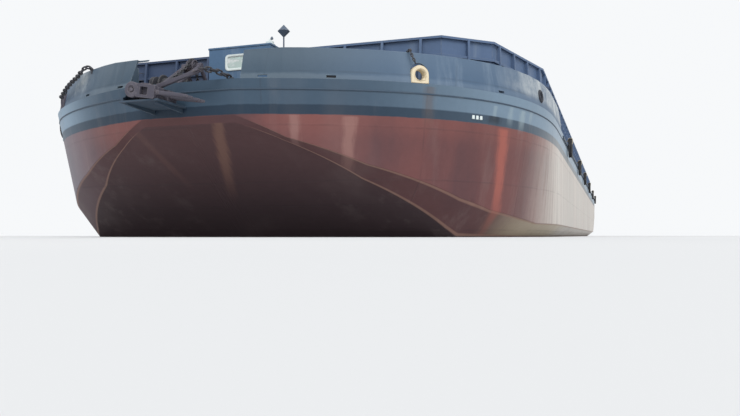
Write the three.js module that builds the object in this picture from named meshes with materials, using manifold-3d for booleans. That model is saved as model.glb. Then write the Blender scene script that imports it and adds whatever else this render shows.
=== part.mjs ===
// River deck cargo barge without an engine, modelled as a 1:10 scale model.
// All sizes below are those of the full-size barge in metres; the whole group is then scaled to
// millimetres of the model. X is across with port positive, Y runs aft, Z is up from the flat bottom.
import * as THREE from 'three';
import { mergeVertices } from 'three/addons/utils/BufferGeometryUtils.js';
import Module from 'manifold-3d';

const wasm = await Module();
wasm.setup();

// Driving dimensions
const MODEL_MM_PER_METRE = 100;
const GAP = 0.003;
const LENGTH = 91.44;
const HALF_BEAM = 11.93;
const DEPTH = 5.5;
const RIGHT_ANGLE = Math.PI / 2;
const MERGE_DISTANCE = 1e-5;
const SLOPE_STEP = 0.01;
const HALVINGS = 30;
const BAR_SIDES = 12;

// Plan of the bow: (u / HALF_BEAM)^P + (1 - aft / BOW_LENGTH)^Q = 1, cut off flat at BOW_FLAT
const BOW = { length: 15.54, acrossPower: 1.437, alongPower: 3.481, flatHalf: 1.95, steps: 19 };
const RAKE = { slope: 0.711, end: 6.4 };
// The shell leans in below the deck: metres inwards for each metre down, fading out along the bow
const FLARE = { slope: 0.2, fullTo: 7, noneFrom: 15.5 };
// Chine table: aft of the deck edge above it, height of the chine, width of the chamfer below it
const CHINE = [
  { aft: 0.24, height: 4.44, inset: 0.12 },
  { aft: 0.9, height: 3.53, inset: 0.36 },
  { aft: 2.18, height: 2.64, inset: 0.85 },
  { aft: 4.84, height: 1.51, inset: 0.95 },
  { aft: 6.47, height: 1.09, inset: 0.9 },
  { aft: 10.8, height: 0.62, inset: 0.8 },
  { aft: LENGTH, height: 0.62, inset: 0.8 },
];
const STERN = { rakeStart: 82, slope: 0.3, cornerRadius: 2.2, cornerSteps: 5 };

// Bulwark: it leans inwards by lean, less along the sides and stemLean more within stemReach of its gap
const BULWARK = {
  height: 1.15, thickness: 0.1, lean: 0.25, sideLean: 0.12, leanPower: 6, stemLean: 0.35,
  stemReach: 0.9, inset: 0.04, gapHalf: 2.24, starboardGapHalf: 2.44, end: 17.6, cornerRadius: 1.1,
  cornerSteps: 4, cornerFinish: 0.6, railWidth: 0.2, railHeight: 0.06,
};
const STAY = {
  depth: 0.6, height: 0.85, head: 0.3, toe: 0.2, thickness: 0.08, first: 0.35, steps: 13, limit: 10.95,
};
// Openings of the bulwark, and how far their cutters reach outside and inside the shell
const CUT = { out: 0.6, in: 1.2 };
const SLOT = { length: 0.34, height: 0.09, above: 0.05 };
const SLOT_PLACES = [2.98, 5.2, 10.45];
const FAIRLEAD = { half: 11.63, above: 0.48, radius: 0.17, sides: 16 };
const CHOCK = {
  half: 7.95, width: 0.7, height: 0.66, depth: 0.36, hole: 0.19, rise: 0.32, inset: 0.02,
  headroom: 0.12, sides: 16,
};

const WALL = {
  height: 2.44, thickness: 0.1, stringerDepth: 0.12, stringerHeight: 0.1, flangeHeight: 0.09,
  flangeDepth: 0.12, postThickness: 0.1, postFoot: 0.42, sidePostFoot: 0.24, postHead: 0.14,
};
const STRINGER_SHARES = [1 / 3, 2 / 3];
const BOX_FRONT = 6.1;
const BOX_HALF = 11.23;
const BOX_AFT = 87.4;
// Corners of the cargo box on the port side, from the bow aft
const BOX_PLAN = [
  { half: 8.03, aft: BOX_FRONT },
  { half: 9.79, aft: 7.7 },
  { half: BOX_HALF, aft: 13.1 },
  { half: BOX_HALF, aft: 38 },
  { half: BOX_HALF, aft: 63 },
  { half: BOX_HALF, aft: BOX_AFT },
];
// Panels of the cargo box: name, first corner, number of posts, stretch from end to first post
const BOX_PANELS = [
  { name: 'box_corner', corner: 0, posts: 1, margin: 1.2 },
  { name: 'box_shoulder', corner: 1, posts: 4, margin: 0.5 },
  { name: 'box_side_forward', corner: 2, posts: 14, margin: 0.9 },
  { name: 'box_side_middle', corner: 3, posts: 14, margin: 0.9 },
  { name: 'box_side_aft', corner: 4, posts: 14, margin: 0.9 },
];
const FRONT_POSTS = 10;
const AFT_POSTS = 13;
const FRONT_MARGIN = 0.8;

const HOUSE = { starboard: -1.02, port: 1.73, front: 3.77, back: 5.62, height: 2.05, wall: 0.1 };
const ROOF = { thickness: 0.07, overhang: 0.03 };
// Window of the house front: its frame stands proud of the wall and reaches half way through it
const WINDOW = {
  from: -0.22, to: 1.29, low: 1.2, high: 1.75, radius: 0.12, border: 0.05, proud: 0.04, glass: 0.03,
  share: 0.5, curve: 4,
};
const DOOR = {
  front: 4.3, width: 0.72, sill: 0.25, height: 1.7, thickness: 0.07, seam: 0.02, inset: 0.015,
};
// Lift-off hinges of the door: barrel centre from the wall and from the doorway, heights above sill
const HINGE = { out: 0.03, back: 0.01, radius: 0.025, height: 0.12, leaf: 0.022, reach: 0.09, weld: 0.01 };
const HINGE_HEIGHTS = [0.3, 1.3];
const DAY_MARK = {
  half: 1.91, aft: 4.6, low: 2.52, high: 3.05, radius: 0.25, pole: 0.03, sides: 12,
  bracketLow: 1.7, bracketHigh: 1.78, bracketHalf: 0.04,
};

// Anchor on the bow: its pin lies fore and aft, and tilts are in radians above the level
const ANCHOR = {
  pinHalf: -0.95, pinAft: -0.62, pinHeight: 5.0, crownRadius: 0.27, crownLength: 1.3,
  headLength: 0.95, headEnd: 0.2, flukeTilt: -0.155, shankLength: 2.3, shankTilt: 0.27,
  shankSize: 0.17, pinRadius: 0.07, pinPlay: 0.01, slotPlay: 0.03, slotBack: 0.13, slotReach: 3,
  sides: 20, pinSides: 12,
};
// Fingers of the anchor's head: where they lie along the pin, and their outline
const FINGER = {
  places: [-0.52, -0.22, 0.22, 0.52], from: 0.85, to: 2.15, root: 0.14, tip: 0.06, thickness: 0.13,
};
// Shelf under the anchor's head, its knees, and the round bar beside the head
const CRADLE = {
  from: -1.5, to: 0.05, front: -1.2, thickness: 0.06, kneeDrop: 0.16, kneeThickness: 0.09,
  kneeInset: 0.15, kneeNose: 0.06, weld: 0.02, stopHalf: -1.39, stopHeight: 4.9, stopRadius: 0.13,
  stopFront: -1.1,
};
const FRAME = {
  half: -0.82, gauge: 0.66, frontFoot: 0.75, backFoot: 3.05, head: 2.25, rise: 1.05, leg: 0.07,
  legSides: 8, brace: 0.056, pad: 0.16, padHeight: 0.06,
};
const SHEAVE = {
  radius: 0.24, groove: 0.16, width: 0.3, shaft: 0.06, play: 0.01, lip: 0.7, floor: 0.25, sides: 20,
};
const WINDLASS = {
  half: -2.3, aft: 3.2, rise: 0.62, drumRadius: 0.26, flangeRadius: 0.44, flangeWidth: 0.07,
  length: 0.95, sides: 20, shaft: 0.08, shaftProud: 0.05, play: 0.01, side: 0.06, cheek: 0.1,
  cheekHalf: 0.34, cheekHead: 0.17, cheekProud: 0.16, baseHeight: 0.1, baseProud: 0.08, weld: 0.02,
};
// Gear case beside the windlass and the plinth below it
const GEAR_CASE = {
  width: 0.3, gap: 0.07, radius: 0.4, sides: 16, plinthHalf: 0.2, plinthDrop: 0.2, plinthInset: 0.03,
};
const LINK = { length: 0.36, width: 0.2, bar: 0.06, corner: 0.3, pitch: 0.26, above: 0.105 };
// Route of the anchor cable from the shank to the windlass: across, aft, height above the deck
const CABLE = [
  { half: 1.42, aft: -0.6, above: 0.16 },
  { half: 1.56, aft: 0.0, above: 0.2 },
  { half: 1.68, aft: 0.8, above: LINK.above },
  { half: 1.28, aft: 1.6, above: LINK.above },
  { half: 0.25, aft: 2.2, above: LINK.above },
  { half: -0.9, aft: 2.42, above: LINK.above },
  { half: -2.1, aft: 2.6, above: LINK.above },
];

const BITTS = {
  radius: 0.18, height: 0.72, spacing: 1.0, baseWidth: 0.6, base: 0.08, capRadius: 0.23,
  capHeight: 0.06, sides: 14,
};
// Pairs of bitts: name, half-breadth, aft
const BITT_PLACES = [
  { name: 'bitts_bow', half: 6.2, aft: 4.0 },
  { name: 'bitts_stern', half: 8.0, aft: 89.5 },
];
const HATCH = { half: 4.2, aft: 3.6, width: 0.95, height: 0.5, wall: 0.06, lid: 0.07, overlap: 0.03 };
const TYRE = { outer: 0.56, shoulder: 0.47, inner: 0.3, width: 0.26, bead: 0.55, sides: 16, below: 0.3 };
const RAIL = { from: 17.8, to: 89, below: 0.12, height: 0.16, proud: 0.06 };
const TYRE_PLACES = [22, 35, 46, 59, 73, 86];
// Hung against a flat of the shell between two sections: seat is how far the flat lies inside the curve
const SHOULDER_TYRE = { half: 10.79, below: 0.15, seat: 0.01 };
const SKEG = { half: 6.4, front: 84.5, back: 90.4, thickness: 0.24, low: 0.02, lead: 1.2 };

const COLOURS = {
  topside: 0x586a76, wall: 0x343c46, house: 0x4d5d6b, gear: 0x6f6660, steel: 0x5a5550,
  cream: 0xd9d0b4, white: 0xd8dcda, glass: 0x7f9a96, tyre: 0x232325, dark: 0x26292c,
};
const ROUGH = 0.7;

function material(colour, metalness = 0.2) {
  return new THREE.MeshStandardMaterial({ color: colour, roughness: ROUGH, metalness });
}

// Changes between triangle geometry and closed solids that can be joined and cut
function solid(geometry) {
  const bare = geometry.clone();
  bare.deleteAttribute('normal');
  bare.deleteAttribute('uv');
  const merged = mergeVertices(bare, MERGE_DISTANCE);
  return new wasm.Manifold(new wasm.Mesh({
    numProp: 3,
    vertProperties: new Float32Array(merged.attributes.position.array),
    triVerts: new Uint32Array(merged.index.array),
  }));
}

function shaped(body) {
  const mesh = body.getMesh();
  const geometry = new THREE.BufferGeometry();
  geometry.setAttribute('position', new THREE.BufferAttribute(mesh.vertProperties, 3));
  geometry.setIndex(new THREE.BufferAttribute(mesh.triVerts, 1));
  return geometry;
}

function joined(geometries) {
  return geometries.map(solid).reduce((whole, piece) => whole.add(piece));
}

// Lofts closed rings of an even number of points. The ends are closed by strips from the first and
// last point inwards, and the faces are turned outwards by the sign of the volume.
function loft(rings) {
  const count = rings[0].length;
  const points = rings.flat();
  const triangles = [];
  for (let ring = 0; ring < rings.length - 1; ring += 1) {
    for (let index = 0; index < count; index += 1) {
      const near = ring * count + index;
      const next = ring * count + ((index + 1) % count);
      triangles.push([near, near + count, next + count], [near, next + count, next]);
    }
  }
  const last = (rings.length - 1) * count;
  for (let index = 0; index < count / 2 - 1; index += 1) {
    const far = count - 1 - index;
    triangles.push([index, index + 1, far], [index + 1, far - 1, far]);
    triangles.push([last + index, last + far, last + index + 1]);
    triangles.push([last + index + 1, last + far, last + far - 1]);
  }
  const volume = triangles.reduce((sum, [a, b, c]) => {
    const cross = new THREE.Vector3().crossVectors(points[b], points[c]);
    return sum + points[a].dot(cross);
  }, 0);
  const outward = volume > 0 ? triangles : triangles.map(([a, b, c]) => [a, c, b]);
  const geometry = new THREE.BufferGeometry().setFromPoints(points);
  geometry.setIndex(outward.flat());
  return geometry;
}

function block(from, to) {
  const size = new THREE.Vector3().subVectors(to, from);
  const centre = new THREE.Vector3().addVectors(from, to).multiplyScalar(0.5);
  return new THREE.BoxGeometry(size.x, size.y, size.z).translate(centre.x, centre.y, centre.z);
}

function vector(x, y, z) {
  return new THREE.Vector3(x, y, z);
}

// Extrudes an outline of the plane upwards, from one height to another
function upright(outline, low, high) {
  const shape = new THREE.Shape(outline);
  return new THREE.ExtrudeGeometry(shape, { depth: high - low, bevelEnabled: false })
    .translate(0, 0, low);
}

// Extrudes an outline given as (aft, height) pairs across the barge, between two half-breadths
function crosswise(outline, from, to) {
  const shape = new THREE.Shape(outline);
  const geometry = new THREE.ExtrudeGeometry(shape, { depth: to - from, bevelEnabled: false });
  const axes = new THREE.Matrix4().makeBasis(vector(0, 1, 0), vector(0, 0, 1), vector(1, 0, 0));
  return geometry.applyMatrix4(axes).translate(from, 0, 0);
}

// Extrudes an outline given as (across, height) pairs aft, between two places
function lengthwise(outline, from, to) {
  const shape = new THREE.Shape(outline);
  const geometry = new THREE.ExtrudeGeometry(shape, { depth: to - from, bevelEnabled: false });
  const axes = new THREE.Matrix4().makeBasis(vector(1, 0, 0), vector(0, 0, 1), vector(0, -1, 0));
  return geometry.applyMatrix4(axes).translate(0, to, 0);
}

// Turns a lathe profile, a closed list of (radius, along), about an axis across the barge
function wheel(profile, sides) {
  const points = profile.map(([radius, along]) => new THREE.Vector2(radius, along));
  return new THREE.LatheGeometry(points, sides).rotateZ(-RIGHT_ANGLE);
}

function bar(radius, from, to, sides = BAR_SIDES) {
  const span = new THREE.Vector3().subVectors(to, from);
  const turn = new THREE.Quaternion().setFromUnitVectors(vector(0, 1, 0), span.clone().normalize());
  const centre = new THREE.Vector3().addVectors(from, to).multiplyScalar(0.5);
  return new THREE.CylinderGeometry(radius, radius, span.length(), sides)
    .applyQuaternion(turn).translate(centre.x, centre.y, centre.z);
}

const barge = new THREE.Group();

function add(name, geometry, look) {
  const mesh = new THREE.Mesh(geometry, look);
  mesh.name = name;
  barge.add(mesh);
  return mesh;
}

// Both sides of the barge: name and sign of X
const SIDES = [{ side: 'port', sign: 1 }, { side: 'starboard', sign: -1 }];

// Outline of the bow
function bowPoint(angle) {
  const half = HALF_BEAM * Math.sin(angle) ** (2 / BOW.acrossPower);
  const forward = Math.max(0, Math.cos(angle)) ** (2 / BOW.alongPower);
  return { half, aft: BOW.length * (1 - forward) };
}

function bowAngle(half) {
  return Math.asin((half / HALF_BEAM) ** (BOW.acrossPower / 2));
}

function bowAft(half) {
  return bowPoint(bowAngle(half)).aft;
}

function bowOutline(fromHalf, steps) {
  const start = bowAngle(fromHalf);
  return Array.from({ length: steps + 1 }, (_, step) => {
    return bowPoint(start + ((RIGHT_ANGLE - start) * step) / steps);
  });
}

// Unit vector towards the inside of the port shell at a half-breadth
function inward(half) {
  const low = Math.max(half - SLOPE_STEP, 0);
  const high = Math.min(half + SLOPE_STEP, HALF_BEAM);
  const along = vector(high - low, bowAft(high) - bowAft(low), 0).normalize();
  return vector(-along.y, along.x, 0);
}

function between(table, aft, column) {
  const next = table.findIndex((row) => row.aft >= aft);
  if (next <= 0) return table[Math.max(next, 0)][column];
  const before = table[next - 1];
  const share = (aft - before.aft) / (table[next].aft - before.aft);
  return before[column] + share * (table[next][column] - before[column]);
}

function bottomHeight(aft) {
  const bow = RAKE.slope * (RAKE.end - aft);
  const stern = STERN.slope * (aft - STERN.rakeStart);
  return Math.max(0, bow, stern);
}

// Aft end of the flat bow plate at a height: it leans back below the deck as the shell does
function stemAft(height) {
  const lean = FLARE.slope * (DEPTH - height) * inward(BOW.flatHalf).y;
  return bowAft(BOW.flatHalf) + lean - GAP;
}

// Port side of one section of the hull: deck edge, chine and edge of the bottom
function hullSection({ half, aft }) {
  const direction = aft < BOW.length ? inward(half) : vector(-1, 0, 0);
  const low = aft > STERN.rakeStart ? bottomHeight(aft) : 0;
  const height = between(CHINE, aft, 'height') + low;
  const fade = 1 - THREE.MathUtils.smoothstep(aft, FLARE.fullTo, FLARE.noneFrom);
  const lean = FLARE.slope * fade * (DEPTH - height);
  const chine = insideShell(half, aft, lean, height - DEPTH, direction);
  const edge = insideShell(half, aft, lean + between(CHINE, aft, 'inset'), 0, direction);
  edge.z = bottomHeight(edge.y);
  return [vector(half, aft, DEPTH), chine, edge];
}

// Angle of the bow's outline at which the edge of the bottom reaches the end of the rake
function rakeEndAngle() {
  let low = bowAngle(BOW.flatHalf);
  let high = RIGHT_ANGLE;
  for (let round = 0; round < HALVINGS; round += 1) {
    const middle = (low + high) / 2;
    const edge = hullSection(bowPoint(middle))[2];
    if (edge.y < RAKE.end) low = middle;
    else high = middle;
  }
  return low;
}

function hullStations() {
  const bow = bowOutline(BOW.flatHalf, BOW.steps);
  const kink = bowPoint(rakeEndAngle());
  bow.splice(bow.findIndex((station) => station.aft > kink.aft), 0, kink);
  const stern = Array.from({ length: STERN.cornerSteps + 1 }, (_, step) => {
    const angle = (RIGHT_ANGLE * step) / STERN.cornerSteps;
    return {
      half: HALF_BEAM - STERN.cornerRadius * (1 - Math.cos(angle)),
      aft: LENGTH - STERN.cornerRadius * (1 - Math.sin(angle)),
    };
  });
  return [...bow, { half: HALF_BEAM, aft: STERN.rakeStart }, ...stern];
}

function buildHull() {
  const rings = hullStations().map((station) => {
    const port = hullSection(station);
    const starboard = port.map((point) => vector(-point.x, point.y, point.z));
    return [...port.reverse(), ...starboard];
  });
  add('hull', loft(rings), material(COLOURS.topside));
}

// A point beside the port shell: distance inside the outline and height above the deck
function insideShell(half, aft, inset, above, direction) {
  return vector(half + direction.x * inset, aft + direction.y * inset, DEPTH + above);
}

function bulwarkStations() {
  const curved = bowOutline(BULWARK.gapHalf, BOW.steps).map((point) => {
    return { ...point, height: BULWARK.height };
  });
  const start = BULWARK.end - BULWARK.cornerRadius;
  const corner = Array.from({ length: BULWARK.cornerSteps + 1 }, (_, step) => {
    const angle = (RIGHT_ANGLE * step) / (BULWARK.cornerSteps + BULWARK.cornerFinish);
    return {
      half: HALF_BEAM,
      aft: start + BULWARK.cornerRadius * Math.sin(angle),
      height: BULWARK.height * Math.cos(angle),
    };
  });
  return [...curved, ...corner];
}

// How far the top of the bulwark lies inside its foot at a half-breadth
function leanAt(half) {
  const side = (half / HALF_BEAM) ** BULWARK.leanPower;
  const stem = Math.exp(-(((half - BULWARK.gapHalf) / BULWARK.stemReach) ** 2));
  return BULWARK.lean + (BULWARK.sideLean - BULWARK.lean) * side + BULWARK.stemLean * stem;
}

// Rings of one strip of the bulwark between two heights, given as shares of its local height
function bulwarkStrip(width, low, high) {
  return loft(bulwarkStations().map((station) => {
    const direction = inward(station.half);
    const corners = [[0, low], [width, low], [width, high], [0, high]];
    return corners.map(([across, share]) => {
      const above = GAP + (station.height - GAP) * Math.min(share, 1)
        + Math.max(share - 1, 0) * station.height;
      const lean = leanAt(station.half) * (above / BULWARK.height);
      const inset = BULWARK.inset + lean + across;
      return insideShell(station.half, station.aft, inset, above, direction);
    });
  }));
}

// Turns a piece built with X along the shell, Y inwards and Z up onto the outline of the bow
function onShell(geometry, half, above) {
  const direction = inward(half);
  const along = vector(direction.y, -direction.x, 0);
  const axes = new THREE.Matrix4().makeBasis(along, direction, vector(0, 0, 1));
  return geometry.applyMatrix4(axes).translate(half, bowAft(half), DEPTH + above);
}

function roundPlug(radius, from, to, rise, sides) {
  return new THREE.CylinderGeometry(radius, radius, to - from, sides)
    .translate(0, (from + to) / 2, rise);
}

function chockOutline(width, height) {
  const half = width / 2;
  const shape = new THREE.Shape();
  shape.moveTo(-half, 0);
  shape.lineTo(half, 0);
  shape.lineTo(half, height - half);
  shape.absarc(0, height - half, half, 0, Math.PI, false);
  return shape;
}

function chockBlock(width, height, from, to) {
  const settings = { depth: to - from, bevelEnabled: false, curveSegments: 8 };
  const axes = new THREE.Matrix4().makeBasis(vector(1, 0, 0), vector(0, 0, 1), vector(0, -1, 0));
  return new THREE.ExtrudeGeometry(chockOutline(width, height), settings)
    .applyMatrix4(axes).translate(0, to, 0);
}

function buildBulwark() {
  const rail = BULWARK.railHeight / BULWARK.height;
  let body = solid(bulwarkStrip(BULWARK.thickness, 0, 1 - rail / 2))
    .add(solid(bulwarkStrip(BULWARK.railWidth, 1 - rail, 1)));
  const places = bowOutline(BULWARK.gapHalf + STAY.first, STAY.steps)
    .filter((place) => place.half < STAY.limit);
  for (const { half } of places) {
    const lean = (leanAt(half) * STAY.height) / BULWARK.height;
    const outline = [
      new THREE.Vector2(0, 0), new THREE.Vector2(STAY.depth, 0),
      new THREE.Vector2(Math.max(STAY.depth - STAY.head, lean + STAY.toe), STAY.height),
      new THREE.Vector2(lean, STAY.height),
    ];
    const stay = crosswise(outline, -STAY.thickness / 2, STAY.thickness / 2);
    const inset = BULWARK.inset + BULWARK.thickness / 2;
    body = body.add(solid(onShell(stay.translate(0, inset, GAP), half, 0)));
  }
  for (const half of SLOT_PLACES) {
    const hole = block(
      vector(-SLOT.length / 2, -CUT.out, SLOT.above),
      vector(SLOT.length / 2, STAY.depth, SLOT.above + SLOT.height),
    );
    body = body.subtract(solid(onShell(hole, half, 0)));
  }
  const fairlead = roundPlug(FAIRLEAD.radius, -CUT.out, CUT.in, FAIRLEAD.above, FAIRLEAD.sides);
  body = body.subtract(solid(onShell(fairlead, FAIRLEAD.half, 0)));
  const seat = chockBlock(CHOCK.width + 2 * GAP, CHOCK.height + CHOCK.headroom, -CUT.out, CUT.in);
  body = body.subtract(solid(onShell(seat, CHOCK.half, -GAP)));
  add('bulwark_port', shaped(body), material(COLOURS.topside));
  const wider = block(vector(0, -CUT.out, DEPTH), vector(BULWARK.starboardGapHalf, CUT.in, 2 * DEPTH));
  const starboard = mirrored(shaped(body.subtract(solid(wider))));
  add('bulwark_starboard', starboard, material(COLOURS.topside));
}

// The same shape on the other side: X changes sign and the triangles turn round
function mirrored(geometry) {
  const copy = geometry.clone();
  const place = copy.attributes.position;
  for (let index = 0; index < place.count; index += 1) place.setX(index, -place.getX(index));
  const order = copy.index.array;
  for (let index = 0; index < order.length; index += 3) {
    const first = order[index];
    order[index] = order[index + 1];
    order[index + 1] = first;
  }
  return copy;
}

function buildChocks() {
  const to = CHOCK.inset + CHOCK.depth;
  const outer = solid(chockBlock(CHOCK.width - 2 * GAP, CHOCK.height, CHOCK.inset, to));
  const hole = solid(roundPlug(CHOCK.hole, -CUT.out, CUT.in, CHOCK.rise, CHOCK.sides));
  const geometry = onShell(shaped(outer.subtract(hole)), CHOCK.half, GAP);
  add('mooring_chock_port', geometry, material(COLOURS.cream));
  add('mooring_chock_starboard', mirrored(geometry), material(COLOURS.cream));
}

// Corners of the whole cargo box in plan, from starboard aft round the bow to port aft
const boxCorners = [...BOX_PLAN].reverse().map(({ half, aft }) => vector(-half, aft, 0))
  .concat(BOX_PLAN.map(({ half, aft }) => vector(half, aft, 0)));

// The corner moved by a distance towards the inside, measured square to both panels
function mitred(index, distance) {
  const here = boxCorners[index];
  const before = boxCorners[index - 1] ?? here;
  const after = boxCorners[index + 1] ?? here;
  const normals = [[before, here], [here, after]].filter(([from, to]) => from !== to)
    .map(([from, to]) => {
      const along = new THREE.Vector3().subVectors(to, from).normalize();
      return vector(-along.y, along.x, 0);
    });
  const middle = vector(0, 0, 0);
  normals.forEach((normal) => middle.add(normal));
  middle.normalize();
  return here.clone().addScaledVector(middle, distance / middle.dot(normals[0]));
}

// A band along one panel between two distances from its outer face and two heights
function wallBand(index, outer, inner, low, high) {
  const along = new THREE.Vector3().subVectors(boxCorners[index + 1], boxCorners[index]).normalize();
  const ends = [
    [index, outer, GAP], [index + 1, outer, -GAP], [index + 1, inner, -GAP], [index, inner, GAP],
  ];
  const outline = ends.map(([corner, distance, trim]) => {
    const point = mitred(corner, distance).addScaledVector(along, trim);
    return new THREE.Vector2(point.x, point.y);
  });
  return upright(outline, DEPTH + low, DEPTH + high);
}

function wallPanel(index, posts, margin, foot) {
  const from = boxCorners[index];
  const to = boxCorners[index + 1];
  const along = new THREE.Vector3().subVectors(to, from);
  const length = along.length();
  along.normalize();
  const inside = vector(-along.y, along.x, 0);
  const pieces = [
    wallBand(index, 0, WALL.thickness, GAP, WALL.height),
    wallBand(index, -WALL.flangeDepth, WALL.thickness, WALL.height - WALL.flangeHeight, WALL.height),
  ];
  for (const share of STRINGER_SHARES) {
    const height = WALL.height * share;
    pieces.push(wallBand(
      index, -WALL.stringerDepth, WALL.thickness / 2, height, height + WALL.stringerHeight,
    ));
  }
  const outline = [
    new THREE.Vector2(-foot, 0), new THREE.Vector2(WALL.thickness / 2, 0),
    new THREE.Vector2(WALL.thickness / 2, WALL.height - WALL.flangeHeight / 2),
    new THREE.Vector2(-WALL.postHead, WALL.height - WALL.flangeHeight / 2),
  ];
  const axes = new THREE.Matrix4().makeBasis(along, inside, vector(0, 0, 1));
  for (let post = 0; post < posts; post += 1) {
    const share = posts > 1 ? post / (posts - 1) : 0.5;
    const place = from.clone().addScaledVector(along, margin + (length - 2 * margin) * share);
    pieces.push(crosswise(outline, -WALL.postThickness / 2, WALL.postThickness / 2)
      .applyMatrix4(axes).translate(place.x, place.y, DEPTH + GAP));
  }
  return shaped(joined(pieces));
}

function buildCargoBox() {
  const look = material(COLOURS.wall);
  const middle = BOX_PLAN.length - 1;
  add('box_front', wallPanel(middle, FRONT_POSTS, FRONT_MARGIN, WALL.postFoot), look);
  for (const panel of BOX_PANELS) {
    const index = middle + 1 + panel.corner;
    const geometry = wallPanel(index, panel.posts, panel.margin, WALL.sidePostFoot);
    add(`${panel.name}_port`, geometry, look);
    add(`${panel.name}_starboard`, mirrored(geometry), look);
  }
  buildAftWall(look);
}

function buildAftWall(look) {
  const reach = BOX_HALF + WALL.flangeDepth;
  const start = BOX_AFT + GAP;
  const pieces = [block(vector(-reach, start, DEPTH + GAP), vector(reach, start + WALL.thickness,
    DEPTH + WALL.height))];
  const bands = STRINGER_SHARES.map((share) => {
    return [WALL.height * share, WALL.stringerHeight, WALL.stringerDepth];
  });
  bands.push([WALL.height - WALL.flangeHeight, WALL.flangeHeight, WALL.flangeDepth]);
  for (const [low, height, depth] of bands) {
    pieces.push(block(vector(-reach, start, DEPTH + low),
      vector(reach, start + WALL.thickness + depth, DEPTH + low + height)));
  }
  const outline = [
    new THREE.Vector2(0, 0), new THREE.Vector2(WALL.thickness + WALL.postFoot, 0),
    new THREE.Vector2(WALL.thickness + WALL.postHead, WALL.height - WALL.flangeHeight / 2),
    new THREE.Vector2(0, WALL.height - WALL.flangeHeight / 2),
  ];
  for (let post = 0; post < AFT_POSTS; post += 1) {
    const place = -reach + FRONT_MARGIN + ((2 * (reach - FRONT_MARGIN)) * post) / (AFT_POSTS - 1);
    pieces.push(crosswise(outline, place - WALL.postThickness / 2, place + WALL.postThickness / 2)
      .translate(0, start, DEPTH + GAP));
  }
  add('box_aft', shaped(joined(pieces)), look);
}

function roundedRectangle(left, right, low, high, radius) {
  const shape = new THREE.Shape();
  shape.moveTo(left + radius, low);
  shape.lineTo(right - radius, low);
  shape.absarc(right - radius, low + radius, radius, -RIGHT_ANGLE, 0, false);
  shape.lineTo(right, high - radius);
  shape.absarc(right - radius, high - radius, radius, 0, RIGHT_ANGLE, false);
  shape.lineTo(left + radius, high);
  shape.absarc(left + radius, high - radius, radius, RIGHT_ANGLE, Math.PI, false);
  shape.lineTo(left, low + radius);
  shape.absarc(left + radius, low + radius, radius, Math.PI, Math.PI + RIGHT_ANGLE, false);
  return shape;
}

function windowSolid(margin, from, to) {
  const outline = roundedRectangle(
    WINDOW.from - margin, WINDOW.to + margin, DEPTH + WINDOW.low - margin,
    DEPTH + WINDOW.high + margin, WINDOW.radius,
  ).getPoints(WINDOW.curve);
  return solid(lengthwise(outline, from, to));
}

function buildHouse() {
  const look = material(COLOURS.house);
  const low = DEPTH + GAP;
  const high = DEPTH + HOUSE.height;
  const { starboard, port, front, back, wall } = HOUSE;
  const frontPanel = solid(block(vector(starboard, front, low), vector(port, front + wall, high)))
    .subtract(windowSolid(0, front - wall, front + 2 * wall));
  add('house_front', shaped(frontPanel), look);
  add('house_back', block(vector(starboard, back - wall, low), vector(port, back, high)), look);
  const sideFront = front + wall + GAP;
  const sideBack = back - wall - GAP;
  add('house_side_port', block(vector(port - wall, sideFront, low), vector(port, sideBack, high)), look);
  const doorway = block(
    vector(starboard - wall, DOOR.front, DEPTH + DOOR.sill),
    vector(starboard + 2 * wall, DOOR.front + DOOR.width, DEPTH + DOOR.sill + DOOR.height),
  );
  const starboardPanel = solid(block(
    vector(starboard, sideFront, low), vector(starboard + wall, sideBack, high),
  )).subtract(solid(doorway));
  buildDoor(starboardPanel, look);
  add('house_roof', block(
    vector(starboard - ROOF.overhang, front - ROOF.overhang, high + GAP),
    vector(port + ROOF.overhang, back, high + GAP + ROOF.thickness),
  ), look);
  const frame = windowSolid(WINDOW.border, front - WINDOW.proud, front - GAP)
    .add(windowSolid(-GAP, front - WINDOW.proud, front + wall * WINDOW.share))
    .subtract(windowSolid(-WINDOW.border, front - wall, front + 2 * wall));
  add('window_frame', shaped(frame), material(COLOURS.white));
  const glass = windowSolid(-WINDOW.border - GAP, front, front + WINDOW.glass);
  add('window_glass', shaped(glass), material(COLOURS.glass));
}

// Door leaf with hinge barrels that stand on lugs of the wall behind the doorway
function buildDoor(panel, look) {
  const outer = HOUSE.starboard + DOOR.inset;
  const edge = DOOR.front + DOOR.width;
  const low = DEPTH + DOOR.sill;
  const axis = vector(HOUSE.starboard - HINGE.out, edge + HINGE.back, 0);
  const leafOut = axis.x - HINGE.leaf / 2;
  const door = [block(
    vector(outer, DOOR.front + DOOR.seam, low + DOOR.seam),
    vector(outer + DOOR.thickness, edge - DOOR.seam, low + DOOR.height - DOOR.seam),
  )];
  let wall = panel;
  for (const height of HINGE_HEIGHTS) {
    const foot = low + height;
    const top = foot + HINGE.height;
    door.push(bar(HINGE.radius, axis.clone().setZ(foot), axis.clone().setZ(top)));
    door.push(block(
      vector(leafOut, edge - HINGE.reach, foot), vector(leafOut + HINGE.leaf, axis.y, top),
    ));
    door.push(block(
      vector(leafOut, edge - HINGE.reach, foot), vector(outer + HINGE.weld, edge - DOOR.seam - HINGE.back, top),
    ));
    const lug = [
      bar(HINGE.radius, axis.clone().setZ(foot - HINGE.height), axis.clone().setZ(foot - GAP)),
      block(
        vector(leafOut, axis.y, foot - HINGE.height),
        vector(HOUSE.starboard + HINGE.weld, axis.y + HINGE.reach, foot - GAP),
      ),
    ];
    wall = wall.add(joined(lug));
  }
  add('house_side_starboard', shaped(wall), look);
  add('house_door', shaped(joined(door)), look);
}

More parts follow.
